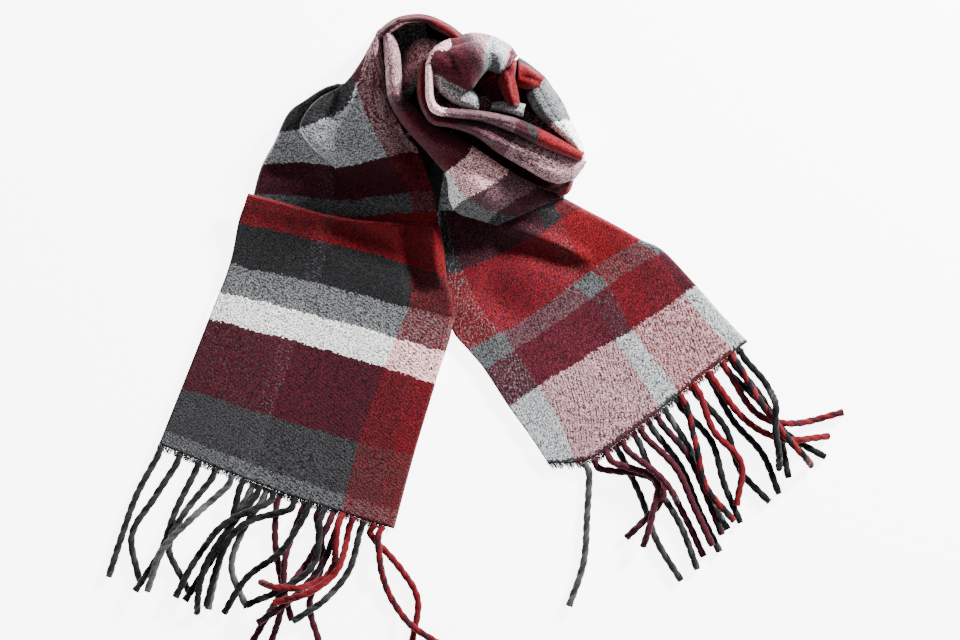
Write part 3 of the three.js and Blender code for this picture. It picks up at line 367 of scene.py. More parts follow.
# The strands: the share of the hem's width where they are tied, the tip, how far the way there bends to its
# left after one and two thirds, and the colours of their two plies. Strands laid first lie under the others.
STRAND = "layer at x y first second yarn ply"
FRINGES = {
    "left": table(STRAND, [
        (0.4, -168, -174, -4, -3, "grey", "grey"), (0.46, -144, -173, -10, -13, "grey", "grey"),
        (0.52, -116, -181, -4, -3, "burgundy", "burgundy"),
        (0.63, -130, -198, -3, 2, "burgundy", "burgundy"), (0.7, -98, -197, 3, -6, "burgundy", "burgundy"),
        (0.76, -141, -195, 2, -1, "burgundy", "burgundy"), (0.8, -136, -181, 8, 7, "burgundy", "black"),
    ], layer="back") + table(STRAND, [
        (0.01, -229.5, -153, -3, -2, "dark_grey", "charcoal"),
        (0.09, -211, -156, -7, -13, "dark_grey", "charcoal"),
        (0.17, -213, -162, 0, 3, "charcoal", "dark_grey"),
        (0.24, -180, -163, -12, -17, "dark_grey", "charcoal"), (0.31, -205, -162, -5, -8, "grey", "grey"),
        (0.36, -182, -168, 5, 3, "black", "black"), (0.43, -175, -176, -6, -8, "black", "black"),
        (0.49, -188, -166, -10, -8, "black", "charcoal"), (0.58, -169, -172, -16, -12, "black", "black"),
        (0.65, -158, -176, 3, -3, "black", "black"), (0.72, -144, -171, 15, 10, "black", "charcoal"),
        (0.8, -135, -157, 20, 17, "red", "red"), (0.85, -126, -168, 13, 11, "red", "red"),
        (0.9, -115, -181, 9, 8, "charcoal", "dark_grey"), (0.95, -41, -195, 9, 13, "red", "red"),
        (0.985, -19, -198, -12, -12, "red", "burgundy"),
    ], layer="front"),
    "right": table(STRAND, [
        (0.9, 219, -79, -1, -5, "black", "black"), (0.94, 196, -92, 6, 6, "black", "charcoal"),
        (0.82, 190, -102, -1, 4, "black", "charcoal"), (0.74, 184, -107, 3, -4, "black", "black"),
        (0.66, 166, -120, 7, 2, "black", "charcoal"), (0.6, 158, -124, 2, -1, "charcoal", "grey"),
        (0.52, 153, -138, 4, 1, "charcoal", "dark_grey"), (0.45, 139, -149, -1, 2, "charcoal", "dark_grey"),
        (0.37, 129, -156, 0, -3, "dark_grey", "charcoal"),
    ], layer="back") + table(STRAND, [
        (0.21, 59, -172, 3, 5, "grey", "dark_grey"), (0.27, 95, -129, 26, 30, "burgundy", "burgundy"),
        (0.33, 105, -134, 21, 13, "burgundy", "burgundy"), (0.4, 143, -141, 7, 5, "burgundy", "burgundy"),
        (0.48, 148, -134, 6, 3, "burgundy", "burgundy"), (0.56, 154, -127, 5, 3, "burgundy", "black"),
        (0.68, 161, -118, -4, -8, "red", "black"), (0.75, 163, -109, 1, 11, "red", "red"),
        (0.83, 221, -66, -13, -14, "red", "red"), (0.9, 229.5, -50, -19, -16, "red", "burgundy"),
        (0.95, 210, -84, -3, -3, "red", "black"), (0.99, 190, -86, 9, 3, "black", "black"),
    ], layer="front"),
}


# Curves and sheets of places, as arrays whose last axis is x y z warp weft

def along(values, shares):
    """The entries of a list at shares of it from 0 to 1, on a smooth curve through them."""
    values = np.asarray(values, float)
    padded = np.concatenate([[2 * values[0] - values[1]], values, [2 * values[-1] - values[-2]]])
    at = np.clip(shares, 0, 1) * (len(values) - 1)
    first = np.minimum(at.astype(int), len(values) - 2)
    t = (at - first).reshape(-1, *[1] * (values.ndim - 1))
    a, b, c, d = (padded[first + k] for k in range(4))
    return 0.5 * (2 * b + (c - a) * t + (2 * a - 5 * b + 4 * c - d) * t**2 + (3 * b - a - 3 * c + d) * t**3)


def steps(points, step):
    """How many points a line of places needs to have that distance between them."""
    return max(4, math.ceil(np.linalg.norm(np.diff(points[:, :3], axis=0), axis=1).sum() / step) + 1)


def net_grid(rows, step):
    """A sheet through weft lines of places: stations along the warp, points along the weft."""
    net = np.array([places for places, *_ in rows], float)
    threads = np.array([threads for _, *threads in rows], float)
    warp_left, warp_right, weft_left, weft_right = threads.T[..., None]
    share = np.linspace(0, 1, net.shape[1])[None, :]
    warp = warp_left + (warp_right - warp_left) * share
    weft = weft_left + (weft_right - weft_left) * share
    full = np.concatenate([net, warp[..., None], weft[..., None]], axis=2)
    points = max(steps(row, step) for row in full)
    stations = max(steps(full[:, k], step) for k in range(full.shape[1]))
    dense = along(full, np.linspace(0, 1, stations))
    return along(dense.transpose(1, 0, 2), np.linspace(0, 1, points)).transpose(1, 0, 2)


UNDERCUT = 0.6  # how far an arch curves in below its widest line, in radians
WIDEST = 0.4  # the height of the widest line, as a share of the arch
FULLNESS = 0.8  # 1 is an ellipse, and less is fuller


def band_grid(rows, step):
    """A sheet that arches from one foot over the crown to the other, along a roll."""
    names = BAND.split()
    crown = [((row["lx"] + row["rx"]) / 2, (row["ly"] + row["ry"]) / 2, row["top"]) for row in rows]
    numbers = [[row[name] for name in names] for row in rows]
    dense = along(numbers, np.linspace(0, 1, steps(np.array(crown, float), step)))
    part = {name: dense[:, k, None] for k, name in enumerate(names)}
    widths = np.hypot(part["rx"] - part["lx"], part["ry"] - part["ly"])
    girth = (widths + 2 * part["top"] - part["lfoot"] - part["rfoot"]).max()
    share = np.linspace(0, 1, max(12, math.ceil(girth / step)))[None, :]
    angle = -UNDERCUT + (math.pi + 2 * UNDERCUT) * share
    rise = np.sin(angle)
    foot = np.where(angle < math.pi / 2, part["lfoot"], part["rfoot"])
    widest = foot + WIDEST * (part["top"] - foot)
    up = (part["top"] - widest) * np.maximum(rise, 0) ** FULLNESS
    down = (widest - foot) * np.minimum(rise, 0) / math.sin(UNDERCUT)
    power = np.log(part["edge"]) / math.log(0.5)
    over = (0.5 - 0.5 * np.cos(angle)) ** power
    way = lambda left, right, at: part[left] + (part[right] - part[left]) * at
    warp, weft = way("warp_left", "warp_right", share), way("weft_left", "weft_right", share)
    return np.stack([way("lx", "rx", over), way("ly", "ry", over), widest + up + down, warp, weft], axis=2)


def normals(grid):
    """The outward direction at each place of a sheet."""
    across = np.gradient(grid[..., :3], axis=1)
    on = np.gradient(grid[..., :3], axis=0)
    out = np.cross(across, on)
    return out / np.maximum(np.linalg.norm(out, axis=2, keepdims=True), 1e-9)


def plan_relief(grid, creases):
    """The height that the creases give each place, from its distance to their bowed lines."""
    height = np.zeros(grid.shape[:2])
    for crease in creases:
        start = np.array([crease["x1"], crease["y1"]], float)
        way = np.array([crease["x2"], crease["y2"]], float) - start
        length = np.linalg.norm(way)
        way /= length
        from_start = grid[..., :2] - start
        t = from_start @ way / length
        aside = from_start @ np.array([-way[1], way[0]]) - crease["bow"] * 4 * t * (1 - t)
        ends = np.clip(1 - np.abs(2 * t - 1) ** 3, 0, 1)
        height += crease["height"] * ends * np.exp(-((aside / crease["width"]) ** 2))
    return height


def fold_relief(grid, folds):
    """The height that folds along a band give each place."""
    on = np.linspace(0, 1, grid.shape[0])[:, None]
    share = np.linspace(0, 1, grid.shape[1])[None, :]
    height = np.zeros(grid.shape[:2])
    for k, fold in enumerate(folds):
        wave = np.sin(FOLD_WAVES * on + FOLD_PHASE * k)
        at = fold["at"] + fold["drift"] * (on - 0.5) + fold["waver"] * wave
        height += fold["height"] * np.exp(-(((share - at) / fold["width"]) ** 2))
    return height


SLOW_DEPTH, QUICK_DEPTH = 0.22, 0.16


def unevenness(grid):
    """The slight waviness of soft cloth, from waves a few centimetres long that bend one another."""
    x, y = grid[..., 0], grid[..., 1]
    slow = np.sin(x / 17 + 1.3 * np.sin(y / 29)) + np.sin(y / 21 + 1.1 * np.sin(x / 23) + 2)
    quick = np.sin(x / 7.3 + y / 11 + 1.7) * np.sin(y / 8.1 - x / 13)
    return SLOW_DEPTH * slow + QUICK_DEPTH * quick


SMOOTH_BELOW, SMOOTH_RANGE = 1.5, 4  # the height up to which a sheet is smooth, and the range of the change


def creased(name, grid, strength):
    """The sheet with its creases, folds and slight waviness, which die out towards the table."""
    height = plan_relief(grid, CREASES.get(name, [])) + fold_relief(grid, FOLDS.get(name, []))
    height += unevenness(grid)
    settled = np.clip((grid[..., 2] - SMOOTH_BELOW) / SMOOTH_RANGE, 0, 1)
    made = grid.copy()
    made[..., :3] += normals(grid) * (strength * height * settled)[..., None]
    return made


def standing(grid):
    """The sheet where it really is, since what stands high is seen further out."""
    made = grid.copy()
    share = 1 - made[..., 2:3] / EYE
    made[..., :2] = AXIS + (made[..., :2] - AXIS) * share
    return made


def level_ways(ends, starts):
    """The level directions from one line of places to another."""
    ways = ends[:, :3] - starts[:, :3]
    ways[:, 2] = 0
    return ways / np.linalg.norm(ways, axis=1, keepdims=True)


# A turned-down edge in profile, from its foot up to the roll: how far in it lies and how high, in radii of
# the roll. The part below the roll is STRAIGHT radii high, or lower where the edge is.
EDGE_PROFILE = [(1, 0), (0.55, 0.4), (0.2, 0.7), (0.04, 0.9), (0, 1.4)]
STRAIGHT = 1.4
LEAST_RISE = 2.4  # how high an edge stands over its foot at least, in radii of its roll
FINEST = 0.5


def turned_left(grid, feet):
    """The sheet with its left edge turned down to its foot."""
    edge = grid[:, 0]
    out = level_ways(edge, grid[:, 3])
    foot = along(np.array(feet, float), np.linspace(0, 1, len(grid)))
    roll = np.minimum(ROLL, (edge[:, 2] - foot) / LEAST_RISE)
    tall = edge[:, 2] - foot - roll
    reach = roll * np.minimum(1, tall / (STRAIGHT * roll + 1e-6))
    points = [(back, foot + up * reach) for back, up in EDGE_PROFILE]
    for angle in math.pi / 2 * np.linspace(0, 1, 6)[1:]:
        points.append((1 - math.cos(angle), edge[:, 2] - roll + roll * math.sin(angle)))
    columns = []
    for back, level in points:
        column = edge.copy()
        column[:, :3] -= out * (back * roll)[:, None]
        column[:, 2] = level
        column[:, 3] -= edge[:, 2] - level
        columns.append(column)
    start = 1 + math.ceil(ROLL / max(np.linalg.norm(grid[0, 1, :2] - grid[0, 0, :2]), FINEST))
    return np.concatenate([np.stack(columns, axis=1), grid[:, start:]], axis=1)


FOLD_REACH = 3  # the depth of the fold at a tail's right edge


def folded_right(grid, step):
    """The sheet with its right edge folded under, and the back layer flat on the table."""
    edge = grid[:, -1]
    out = level_ways(edge, grid[:, -4])
    half = edge[:, 2] / 2
    reach = np.minimum(half, FOLD_REACH)
    start = edge.copy()
    start[:, :3] -= out * reach[:, None]
    sign = np.sign(edge[:, 3] - grid[:, 0, 3])
    fold = []
    turn = math.pi * np.maximum(half, reach)
    for share in np.linspace(0, 1, 12)[1:]:
        angle = math.pi / 2 - math.pi * share
        column = start.copy()
        column[:, :3] += out * (reach * math.cos(angle))[:, None]
        column[:, 2] = half + half * math.sin(angle)
        column[:, 3] += sign * turn * share
        fold.append(column)
    keep = grid.shape[1] - 1 - math.ceil(FOLD_REACH / step)
    front = np.concatenate([grid[:, :keep], start[:, None]], axis=1)
    shares = np.linspace(0, 1, front.shape[1])[1:]
    back = along(front.transpose(1, 0, 2), 1 - shares).transpose(1, 0, 2)
    back[..., 3] = 2 * fold[-1][:, None, 3] - back[..., 3]
    back[..., 2] = 0
    return np.concatenate([front, np.stack(fold, axis=1), back], axis=1)


# Meshes from the sheets

LEAN = {"left_tail": 72, "left_tail_tuck": 72, "right_tail": -24, "left_upper": 60, "left_wing": 60}
USUAL_LEAN = 40  # in degrees, from the weft


def skin_faces(rows, wide):
    """The faces of a closed skin round two sheets of points, the outer one first."""
    number = np.arange(rows * wide).reshape(rows, wide)
    beyond = number + rows * wide
    faces = [np.stack([number[:-1, :-1], number[:-1, 1:], number[1:, 1:], number[1:, :-1]], axis=2),
             np.stack([beyond[:-1, :-1], beyond[1:, :-1], beyond[1:, 1:], beyond[:-1, 1:]], axis=2)]
    for line, back in ((number[:, 0], beyond[:, 0]), (number[-1], beyond[-1]),
                       (number[::-1, -1], beyond[::-1, -1]), (number[0, ::-1], beyond[0, ::-1])):
        faces.append(np.stack([line[:-1], line[1:], back[1:], back[:-1]], axis=1))
    return np.concatenate([part.reshape(-1, 4) for part in faces])


def add_map(mesh, name, places):
    """A UV map, from one place for each corner of the mesh."""
    mesh.uv_layers.new(name=name).data.foreach_set("uv", places.astype(np.float32).ravel())


def sheet_mesh(name, grid, cloth):
    """A closed mesh of a sheet and its inner face. Its UV maps hold the threads of the cut cloth that meet
    there, and the same turned so that the twill's lines run along V."""
    outer = standing(grid)
    inner = outer.copy()
    inner[..., :3] -= normals(outer) * cloth
    inner[..., 2] = np.maximum(inner[..., 2], 0)
    quads = skin_faces(*grid.shape[:2])
    values = np.concatenate([outer.reshape(-1, 5), inner.reshape(-1, 5)])
    mesh = bpy.data.meshes.new(name)
    mesh.from_pydata((values[:, :3] * MM).tolist(), [], quads.tolist())
    threads = values[quads.ravel(), 3:5]
    add_map(mesh, "threads", threads)
    lean = math.radians(LEAN.get(name.removesuffix("_cloth"), USUAL_LEAN))
    add_map(mesh, "twill", threads @ [[math.cos(lean), -math.sin(lean)], [math.sin(lean), math.cos(lean)]])
    mesh.shade_smooth()
    mesh.validate()
    return mesh


def link(name, mesh, material):
    """An object that shows a mesh, riding on the part."""
    piece = bpy.data.objects.new(name, mesh)
    bpy.context.scene.collection.objects.link(piece)
    mesh.materials.clear()
    mesh.materials.append(material)
    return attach(piece, "root")


def cloth_piece(node, grid, sizes):
    """A stretch of the scarf in place of its CAD solid."""
    name = node + "_cloth"
    piece = link(name, sheet_mesh(name, grid, sizes.cloth / MM), material_named("brushed_check"))
    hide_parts(node)


# Node trees, written as expressions

class Socket:
    """An output of a node that adds a Math node for each sign in an expression."""

    def __init__(self, tree, out):
        self.tree = tree
        self.out = out

    def math(self, operation, *others, turned=False):
        values = [self, *others]
        if turned:
            values.reverse()
        return self.tree.add("ShaderNodeMath", {"operation": operation}, dict(enumerate(values)))

    def __add__(self, other):
        return self.math("ADD", other)

    def __sub__(self, other):
        return self.math("SUBTRACT", other)

    def __rsub__(self, other):
        return self.math("SUBTRACT", other, turned=True)

    def __mul__(self, other):
        return self.math("MULTIPLY", other)

    def __truediv__(self, other):
        return self.math("DIVIDE", other)

    __radd__ = __add__
    __rmul__ = __mul__

    def between(self, low, high):
        """0 below low, 1 above high, and a smooth step in between."""
        values = {"Value": self, "From Min": low, "From Max": high}
        return self.tree.add("ShaderNodeMapRange", {"interpolation_type": "SMOOTHSTEP"}, values)


class Tree:
    """A node tree that a script fills."""

    def __init__(self, tree):
        self.tree = tree

    def add(self, kind, settings=None, inputs=None, output=0):
        node = self.tree.nodes.new(kind)
        for name, value in (settings or {}).items():
            if name == "stops":
                ramp = node.color_ramp
                ramp.interpolation = "CONSTANT"
                while len(ramp.elements) < len(value):
                    ramp.elements.new(1)
                for element, (at, shade) in zip(ramp.elements, value):
                    element.position = at
                    element.color = shade
            else:
                setattr(node, name, value)
        for key, value in (inputs or {}).items():
            if isinstance(value, Socket):
                self.tree.links.new(value.out, node.inputs[key])
            else:
                node.inputs[key].default_value = value
        return Socket(self, node.outputs[output]) if node.outputs else None

    def noise(self, at, scale, detail=2.0, rough=0.5):
        values = {"Vector": at, "Scale": scale, "Detail": detail, "Roughness": rough}
        return self.add("ShaderNodeTexNoise", {}, values)

    def mix(self, first, second, factor):
        return self.add("ShaderNodeMix", {"data_type": "RGBA"}, {0: factor, 6: first, 7: second}, output=2)

    def scaled(self, vector, by):
        return self.add("ShaderNodeVectorMath", {"operation": "MULTIPLY"}, {0: vector, 1: by})


def material_named(name):
    """A material, made when it is first asked for."""
    found = bpy.data.materials.get(name)
    if found:
        return found
    material = bpy.data.materials.new(name)
    material.use_nodes = True
    material.node_tree.nodes.clear()
    MATERIALS[name](Tree(material.node_tree), bpy.context.scene.scarf_sizes, bpy.context.scene.scarf_colours)
    return material


def finish_surface(tree, shade, height, sheen):
    """The bump, the shader and the output of a fibrous material."""
    bump = tree.add("ShaderNodeBump", {}, {"Strength": 0.6, "Distance": 0.0006, "Height": height})
    values = {"Base Color": shade, "Roughness": 0.92, "Normal": bump, "Sheen Weight": sheen,
              "Sheen Roughness": 0.45, "Specular IOR Level": 0.15}
    shader = tree.add("ShaderNodeBsdfPrincipled", {}, values)
    tree.add("ShaderNodeOutputMaterial", {}, {"Surface": shader})


def stripes(sett, colours):
    """The stops of a ramp over a sett of threads."""
    total = sum(stripe[1] for stripe in sett)
    stops = []
    at = 0
    for name, width, *shown in sett:
        stops.append((at / total, (*getattr(colours, name), *(shown or [1]))))
        at += width
    return stops, total


# How far, in millimetres of cut cloth, brushing blurs the border of a colour, and how far the border wanders
WARP_BLUR, WARP_DRIFT = 3.6, 2
WEFT_BLUR, WEFT_DRIFT = 4, 3
RED_SHARE = (0.36, 0.42)  # from which share of the face on a warp stripe reddens the weft that crosses it
REDDENED = (1.12, 0.55, 0.58)
GROOVE_SHADE = (0.3, 0.3, 0.31)  # painted shade: what is left of the colour in the grooves of the twill's lines
# The darkest and the lightest of the brushed face's speckle: partly the fibres' own random tone, partly
# painted shade in the gaps between tufts and painted light on the tufts
DARK_SPECKLE_AND_SHADE, LIGHT_SPECKLE_AND_LIT_TUFT = (0.1, 0.1, 0.11), (1.85, 1.8, 1.8)
LINT = (0.14, 0.135, 0.14, 1)


def brushed_check(tree, sizes, colours):
    """Twill of coloured threads, brushed until its fibres blur the borders of the checks."""
    threads = tree.add("ShaderNodeUVMap", {"uv_map": "threads"})
    turned = tree.add("ShaderNodeUVMap", {"uv_map": "twill"})
    warp = tree.add("ShaderNodeSeparateXYZ", {}, {0: threads})
    weft = tree.add("ShaderNodeSeparateXYZ", {}, {0: threads}, output=1)
    across = tree.add("ShaderNodeSeparateXYZ", {}, {0: turned})
    place = tree.add("ShaderNodeTexCoord", {}, output=3)
    grain = sizes.grain
    # Where the threads are, once brushed
    teeth = tree.noise(place, 0.6 / grain, 1)
    tufts = tree.noise(place, 0.45 / grain, 2, 0.6)
    drift = tree.noise(threads, 0.05, 1)
    warp_at = warp + (tufts - 0.5) * WARP_BLUR + (drift - 0.5) * WARP_DRIFT
    weft_at = weft + (teeth - 0.5) * WEFT_BLUR + (drift - 0.5) * WEFT_DRIFT
    # The colours of both systems
    warp_stops, warp_total = stripes(WARP, colours)
    weft_stops, weft_total = stripes(WEFT, colours)
    warp_shade = tree.add("ShaderNodeValToRGB", {"stops": warp_stops}, {0: warp_at / warp_total})
    warp_share = tree.add("ShaderNodeValToRGB", {"stops": warp_stops}, {0: warp_at / warp_total}, output=1)
    turn = ((weft_at - WEFT_START) / weft_total).math("FRACT")
    weft_shade = tree.add("ShaderNodeValToRGB", {"stops": weft_stops}, {0: turn})
    at_hem = weft_at.math("ABSOLUTE").math("LESS_THAN", HEM_BAND)
    weft_shade = tree.mix(weft_shade, (*colours.light_grey, 1), at_hem * 0.5)
    weft_shade = tree.mix(weft_shade, tree.scaled(weft_shade, REDDENED), warp_share.between(*RED_SHARE) * 0.8)
    # Which of them shows, in the dashes and lines of the twill
    line = (across / (sizes.twill / MM) + (tufts - 0.5) * 1.2).math("FRACT")
    valley = (line - 0.5).math("ABSOLUTE").between(0.22, 0.5)
    dashes = tree.noise(tree.scaled(turned, (1, 0.45, 1)), 0.8 / grain * MM, 1)
    fibres = tree.noise(place, 1.1 / grain, 2, 0.7)
    pale = tree.add("ShaderNodeRGBToBW", {}, {0: weft_shade})
    shows = (dashes * 0.5 + fibres * 0.5 + valley * 0.09 + warp_share * 0.3 - pale * 0.11).between(0.63, 0.7)
    cloth = tree.mix(weft_shade, warp_shade, shows * 0.85 + warp_share * 0.1)
    # Painted shade in the grooves of the twill's lines
    groove_shade = valley * dashes.between(0.42, 0.56)
    cloth = tree.mix(cloth, tree.scaled(cloth, GROOVE_SHADE), groove_shade * 0.55)
    # Light tufts and dark gaps, partly the fibres' own random tone and partly painted light on the tufts and
    # painted shade in the gaps, and lint
    speckle_light_and_shade = tree.noise(tree.scaled(place, (1, 1, 1.2)), 1.05 / grain, 2, 0.75)
    cloth = tree.mix(tree.scaled(cloth, DARK_SPECKLE_AND_SHADE), tree.scaled(cloth, LIGHT_SPECKLE_AND_LIT_TUFT), speckle_light_and_shade.between(0.38, 0.62))
    cloth = tree.mix(cloth, LINT, fibres.between(0.6, 0.74) * 0.22)
    finish_surface(tree, cloth, fibres * 0.5 + speckle_light_and_shade * 0.4 - groove_shade * 0.5, 0.06)


FUZZ_SCALE, TUFT_SCALE = 1400, 600
SHADE_BETWEEN_FIBRES = (0.35, 0.35, 0.36)  # painted shade: what is left of the colour in the dark gaps between the fibres
STRAY_FIBRES = (0.3, 0.3, 0.31, 1)


def twisted_yarn(tree, sizes, colours):
    """Two plies of wool, each with its own colour, with fibres that follow the twist."""
    first = tree.add("ShaderNodeAttribute", {"attribute_name": "yarn"})
    second = tree.add("ShaderNodeAttribute", {"attribute_name": "ply_yarn"})
    ply = tree.add("ShaderNodeAttribute", {"attribute_name": "ply"}, output=2)
    place = tree.add("ShaderNodeTexCoord", {}, output=3)
    fuzz = tree.noise(place, FUZZ_SCALE, 2, 0.6)
    tufts = tree.noise(place, TUFT_SCALE, 2, 0.6)
    shade = tree.mix(first, second, (ply + (tufts - 0.5) * 0.7).between(0.35, 0.65))
    # Painted shade in the gaps between the fibres
    shade = tree.mix(shade, tree.scaled(shade, SHADE_BETWEEN_FIBRES), fuzz.between(0.6, 0.35) * 0.7)
    shade = tree.mix(shade, STRAY_FIBRES, fuzz.between(0.6, 0.8) * 0.12)
    finish_surface(tree, shade, fuzz * 0.6 + tufts * 0.6, 0.1)


# How strongly the table glows: painted light, which also lights the cloth from below
TABLE_GLOW = 6.5


def pale_floor(tree, sizes, colours):
    """A plain white table that glows with light of its own, so brightly that shadows hardly show on it."""
    values = {"Base Color": (0.93, 0.93, 0.94, 1), "Roughness": 0.9, "Emission Color": (0.98, 0.98, 1, 1),
              "Emission Strength": TABLE_GLOW}
    shader = tree.add("ShaderNodeBsdfPrincipled", {}, values)
    tree.add("ShaderNodeOutputMaterial", {}, {"Surface": shader})


MATERIALS = {"brushed_check": brushed_check, "twisted_yarn": twisted_yarn, "pale_floor": pale_floor}


# Geometry Nodes

def start_tree(name, inputs):
    """A Geometry Nodes tree with named inputs. Returns the tree and its inputs as sockets."""
    group = bpy.data.node_groups.new(name, "GeometryNodeTree")
    group.interface.new_socket("Geometry", in_out="INPUT", socket_type="NodeSocketGeometry")
    for label, kind in inputs.items():
        group.interface.new_socket(label, in_out="INPUT", socket_type=kind)
    group.interface.new_socket("Geometry", in_out="OUTPUT", socket_type="NodeSocketGeometry")
    tree = Tree(group)
    entry = group.nodes.new("NodeGroupInput")
    return tree, {socket.name: Socket(tree, socket) for socket in entry.outputs if socket.name}


def end_tree(tree, geometry, material):
    """The close of a tree: plain meshes with their material."""
    real = tree.add("GeometryNodeRealizeInstances", {}, {"Geometry": geometry})
    painted = tree.add("GeometryNodeSetMaterial", {}, {"Geometry": real, "Material": material})
    tree.add("NodeGroupOutput", {}, {"Geometry": painted})


ROOT_TAPER, TIP_TAPER = 0.012, 0.003  # the lengths over which a strand grows thicker, in metres
UNEVEN_SCALE = 260
RING_SIDES = 12


def yarn_tree(material):
    """Twists two plies round each line of a mesh, thin at its start and round at its end."""
    names = {"Radius": "NodeSocketFloat", "Pitch": "NodeSocketFloat", "Step": "NodeSocketFloat"}
    tree, given = start_tree("twisted_strands", names)
    lines = tree.add("GeometryNodeMeshToCurve", {}, {"Mesh": given["Geometry"]})
    values = {"Curve": lines, "Length": given["Step"]}
    lines = tree.add("GeometryNodeResampleCurve", {"mode": "LENGTH"}, values)
    gone = tree.add("GeometryNodeSplineParameter", {}, output=1)
    whole = tree.add("GeometryNodeSplineLength")
    values = {"Curve": lines, "Tilt": gone / given["Pitch"] * math.tau}
    turned = tree.add("GeometryNodeSetCurveTilt", {}, values)
    root = (gone / ROOT_TAPER * 0.5 + 0.42).math("MINIMUM", 1)
    tip = ((whole - gone) / TIP_TAPER * 0.5 + 0.55).math("MINIMUM", 1)
    spun = tree.noise(tree.add("GeometryNodeInputPosition"), UNEVEN_SCALE, 2) * 0.7 + 0.66
    sized = tree.add("GeometryNodeSetCurveRadius", {}, {"Curve": turned, "Radius": root * tip * spun})
    values = {"Resolution": RING_SIDES, "Radius": 1.0}
    ring = tree.add("GeometryNodeCurvePrimitiveCircle", {"mode": "RADIUS"}, values)
    place = tree.add("GeometryNodeInputPosition")
    across = tree.add("ShaderNodeSeparateXYZ", {}, {0: place})
    lobes = (across.math("ABSOLUTE") * 0.2 + 0.8) * given["Radius"]
    scale = tree.add("ShaderNodeVectorMath", {"operation": "SCALE"}, {0: place, "Scale": lobes})
    values = {"Geometry": ring, "Name": "ply", "Value": across.math("GREATER_THAN", 0.0)}
    ring = tree.add("GeometryNodeStoreNamedAttribute", {"data_type": "FLOAT", "domain": "POINT"}, values)
    ring = tree.add("GeometryNodeSetPosition", {}, {"Geometry": ring, "Position": scale})
    values = {"Curve": sized, "Profile Curve": ring, "Fill Caps": True}
    body = tree.add("GeometryNodeCurveToMesh", {}, values)
    body = tree.add("GeometryNodeSetShadeSmooth", {}, {0: body})
    end_tree(tree, body, material)
    return tree.tree


# The line of one loose end, as long as 1: it starts inside the hem and bows to one side
LOOSE_END = {"Resolution": 5, "Start": (0, -0.25, 0), "Middle": (0.22, 0.45, 0.16), "End": (0.02, 1, 0)}
END_RING = {"Resolution": 3, "Radius": 0.055}
STRAY = {"Min": (-0.75, -0.75, -0.06), "Max": (0.75, 0.75, 0.3)}
SHORTEST = 0.25


def fray_tree(material):
    """Loose ends of yarn along a line, pointing out of the hem and each bent its own way."""
    names = {"Count": "NodeSocketInt", "Length": "NodeSocketFloat", "Seed": "NodeSocketInt"}
    tree, given = start_tree("frayed_ends", names)
    seed = given["Seed"]
    chance = lambda low, high, number: tree.add("FunctionNodeRandomValue", {"data_type": "FLOAT"},
                                                {2: low, 3: high, "Seed": seed + number}, output=1)
    line = tree.add("GeometryNodeMeshToCurve", {}, {"Mesh": given["Geometry"]})
    values = {"Curve": line, "Count": given["Count"]}
    line = tree.add("GeometryNodeResampleCurve", {"mode": "COUNT"}, values)
    hair = tree.add("GeometryNodeCurveQuadraticBezier", {}, LOOSE_END)
    ring = tree.add("GeometryNodeCurvePrimitiveCircle", {"mode": "RADIUS"}, END_RING)
    hair = tree.add("GeometryNodeCurveToMesh", {}, {"Curve": hair, "Profile Curve": ring, "Fill Caps": True})
    out = tree.add("GeometryNodeInputNamedAttribute", {"data_type": "FLOAT_VECTOR"}, {"Name": "out"})
    stray = tree.add("FunctionNodeRandomValue", {"data_type": "FLOAT_VECTOR"}, STRAY | {"Seed": seed})
    way = tree.add("ShaderNodeVectorMath", {"operation": "ADD"}, {0: out, 1: stray})
    turn = tree.add("FunctionNodeAlignRotationToVector", {"axis": "Y"}, {"Vector": way})
    values = {"Axis": (0, 1, 0), "Angle": chance(0.0, math.tau, 1)}
    values = {"Rotation": turn, "Rotate By": tree.add("FunctionNodeAxisAngleToRotation", {}, values)}
    turn = tree.add("FunctionNodeRotateRotation", {"rotation_space": "LOCAL"}, values)
    length = chance(SHORTEST, 1.0, 2) * given["Length"]
    values = {"Points": line, "Instance": hair, "Rotation": turn, "Scale": length}
    hairs = tree.add("GeometryNodeInstanceOnPoints", {}, values)
    end_tree(tree, hairs, material)
    return tree.tree


def lines_mesh(name, lines, attributes):
    """A mesh of open lines. ATTRIBUTES maps a name to its kind and one value for each point of each line."""
    mesh = bpy.data.meshes.new(name)
    edges = []
    start = 0
    for line in lines:
        edges += [(start + k, start + k + 1) for k in range(len(line) - 1)]
        start += len(line)
    mesh.from_pydata((np.concatenate(lines) * MM).tolist(), edges, [])
    for label, (kind, values) in attributes.items():
        layer = mesh.attributes.new(label, kind, "POINT")
        field = "color" if kind == "FLOAT_COLOR" else "vector"
        layer.data.foreach_set(field, np.concatenate(values).astype(np.float32).ravel())
    return mesh


def grown(name, lines, attributes, make_tree, values):
    """The plain mesh of yarn that a tree makes of open lines, as a piece."""
    material = material_named("twisted_yarn")
    mesh = lines_mesh(name, lines, attributes)
    group = make_tree(material)
    source = bpy.data.objects.new(name + "_lines", mesh)
    bpy.context.scene.collection.objects.link(source)
    modifier = source.modifiers.new("nodes", "NODES")
    modifier.node_group = group
    for item in group.interface.items_tree:
        if item.in_out == "INPUT" and item.name in values:
            modifier[item.identifier] = values[item.name]
    evaluated = source.evaluated_get(bpy.context.evaluated_depsgraph_get())
    made = bpy.data.meshes.new_from_object(evaluated, depsgraph=bpy.context.evaluated_depsgraph_get())
    made.name = name
    source.modifiers.remove(modifier)
    bpy.data.objects.remove(source)
    bpy.data.meshes.remove(mesh)
    return link(name, made, material)


# Fringes

STRIP_OUT = 1.1  # from the hem to the middle of the strip that the strands are knotted into
LEAD = 7  # how far a strand runs straight out of the hem
STATIONS = 10
CROSS_STEP = 1.5
CLEARANCE = 4.3  # between the middles of two strands where one lies over the other


TIP_HEIGHT = 2
FINE = 60  # points on the line that a strand's stations are spaced along


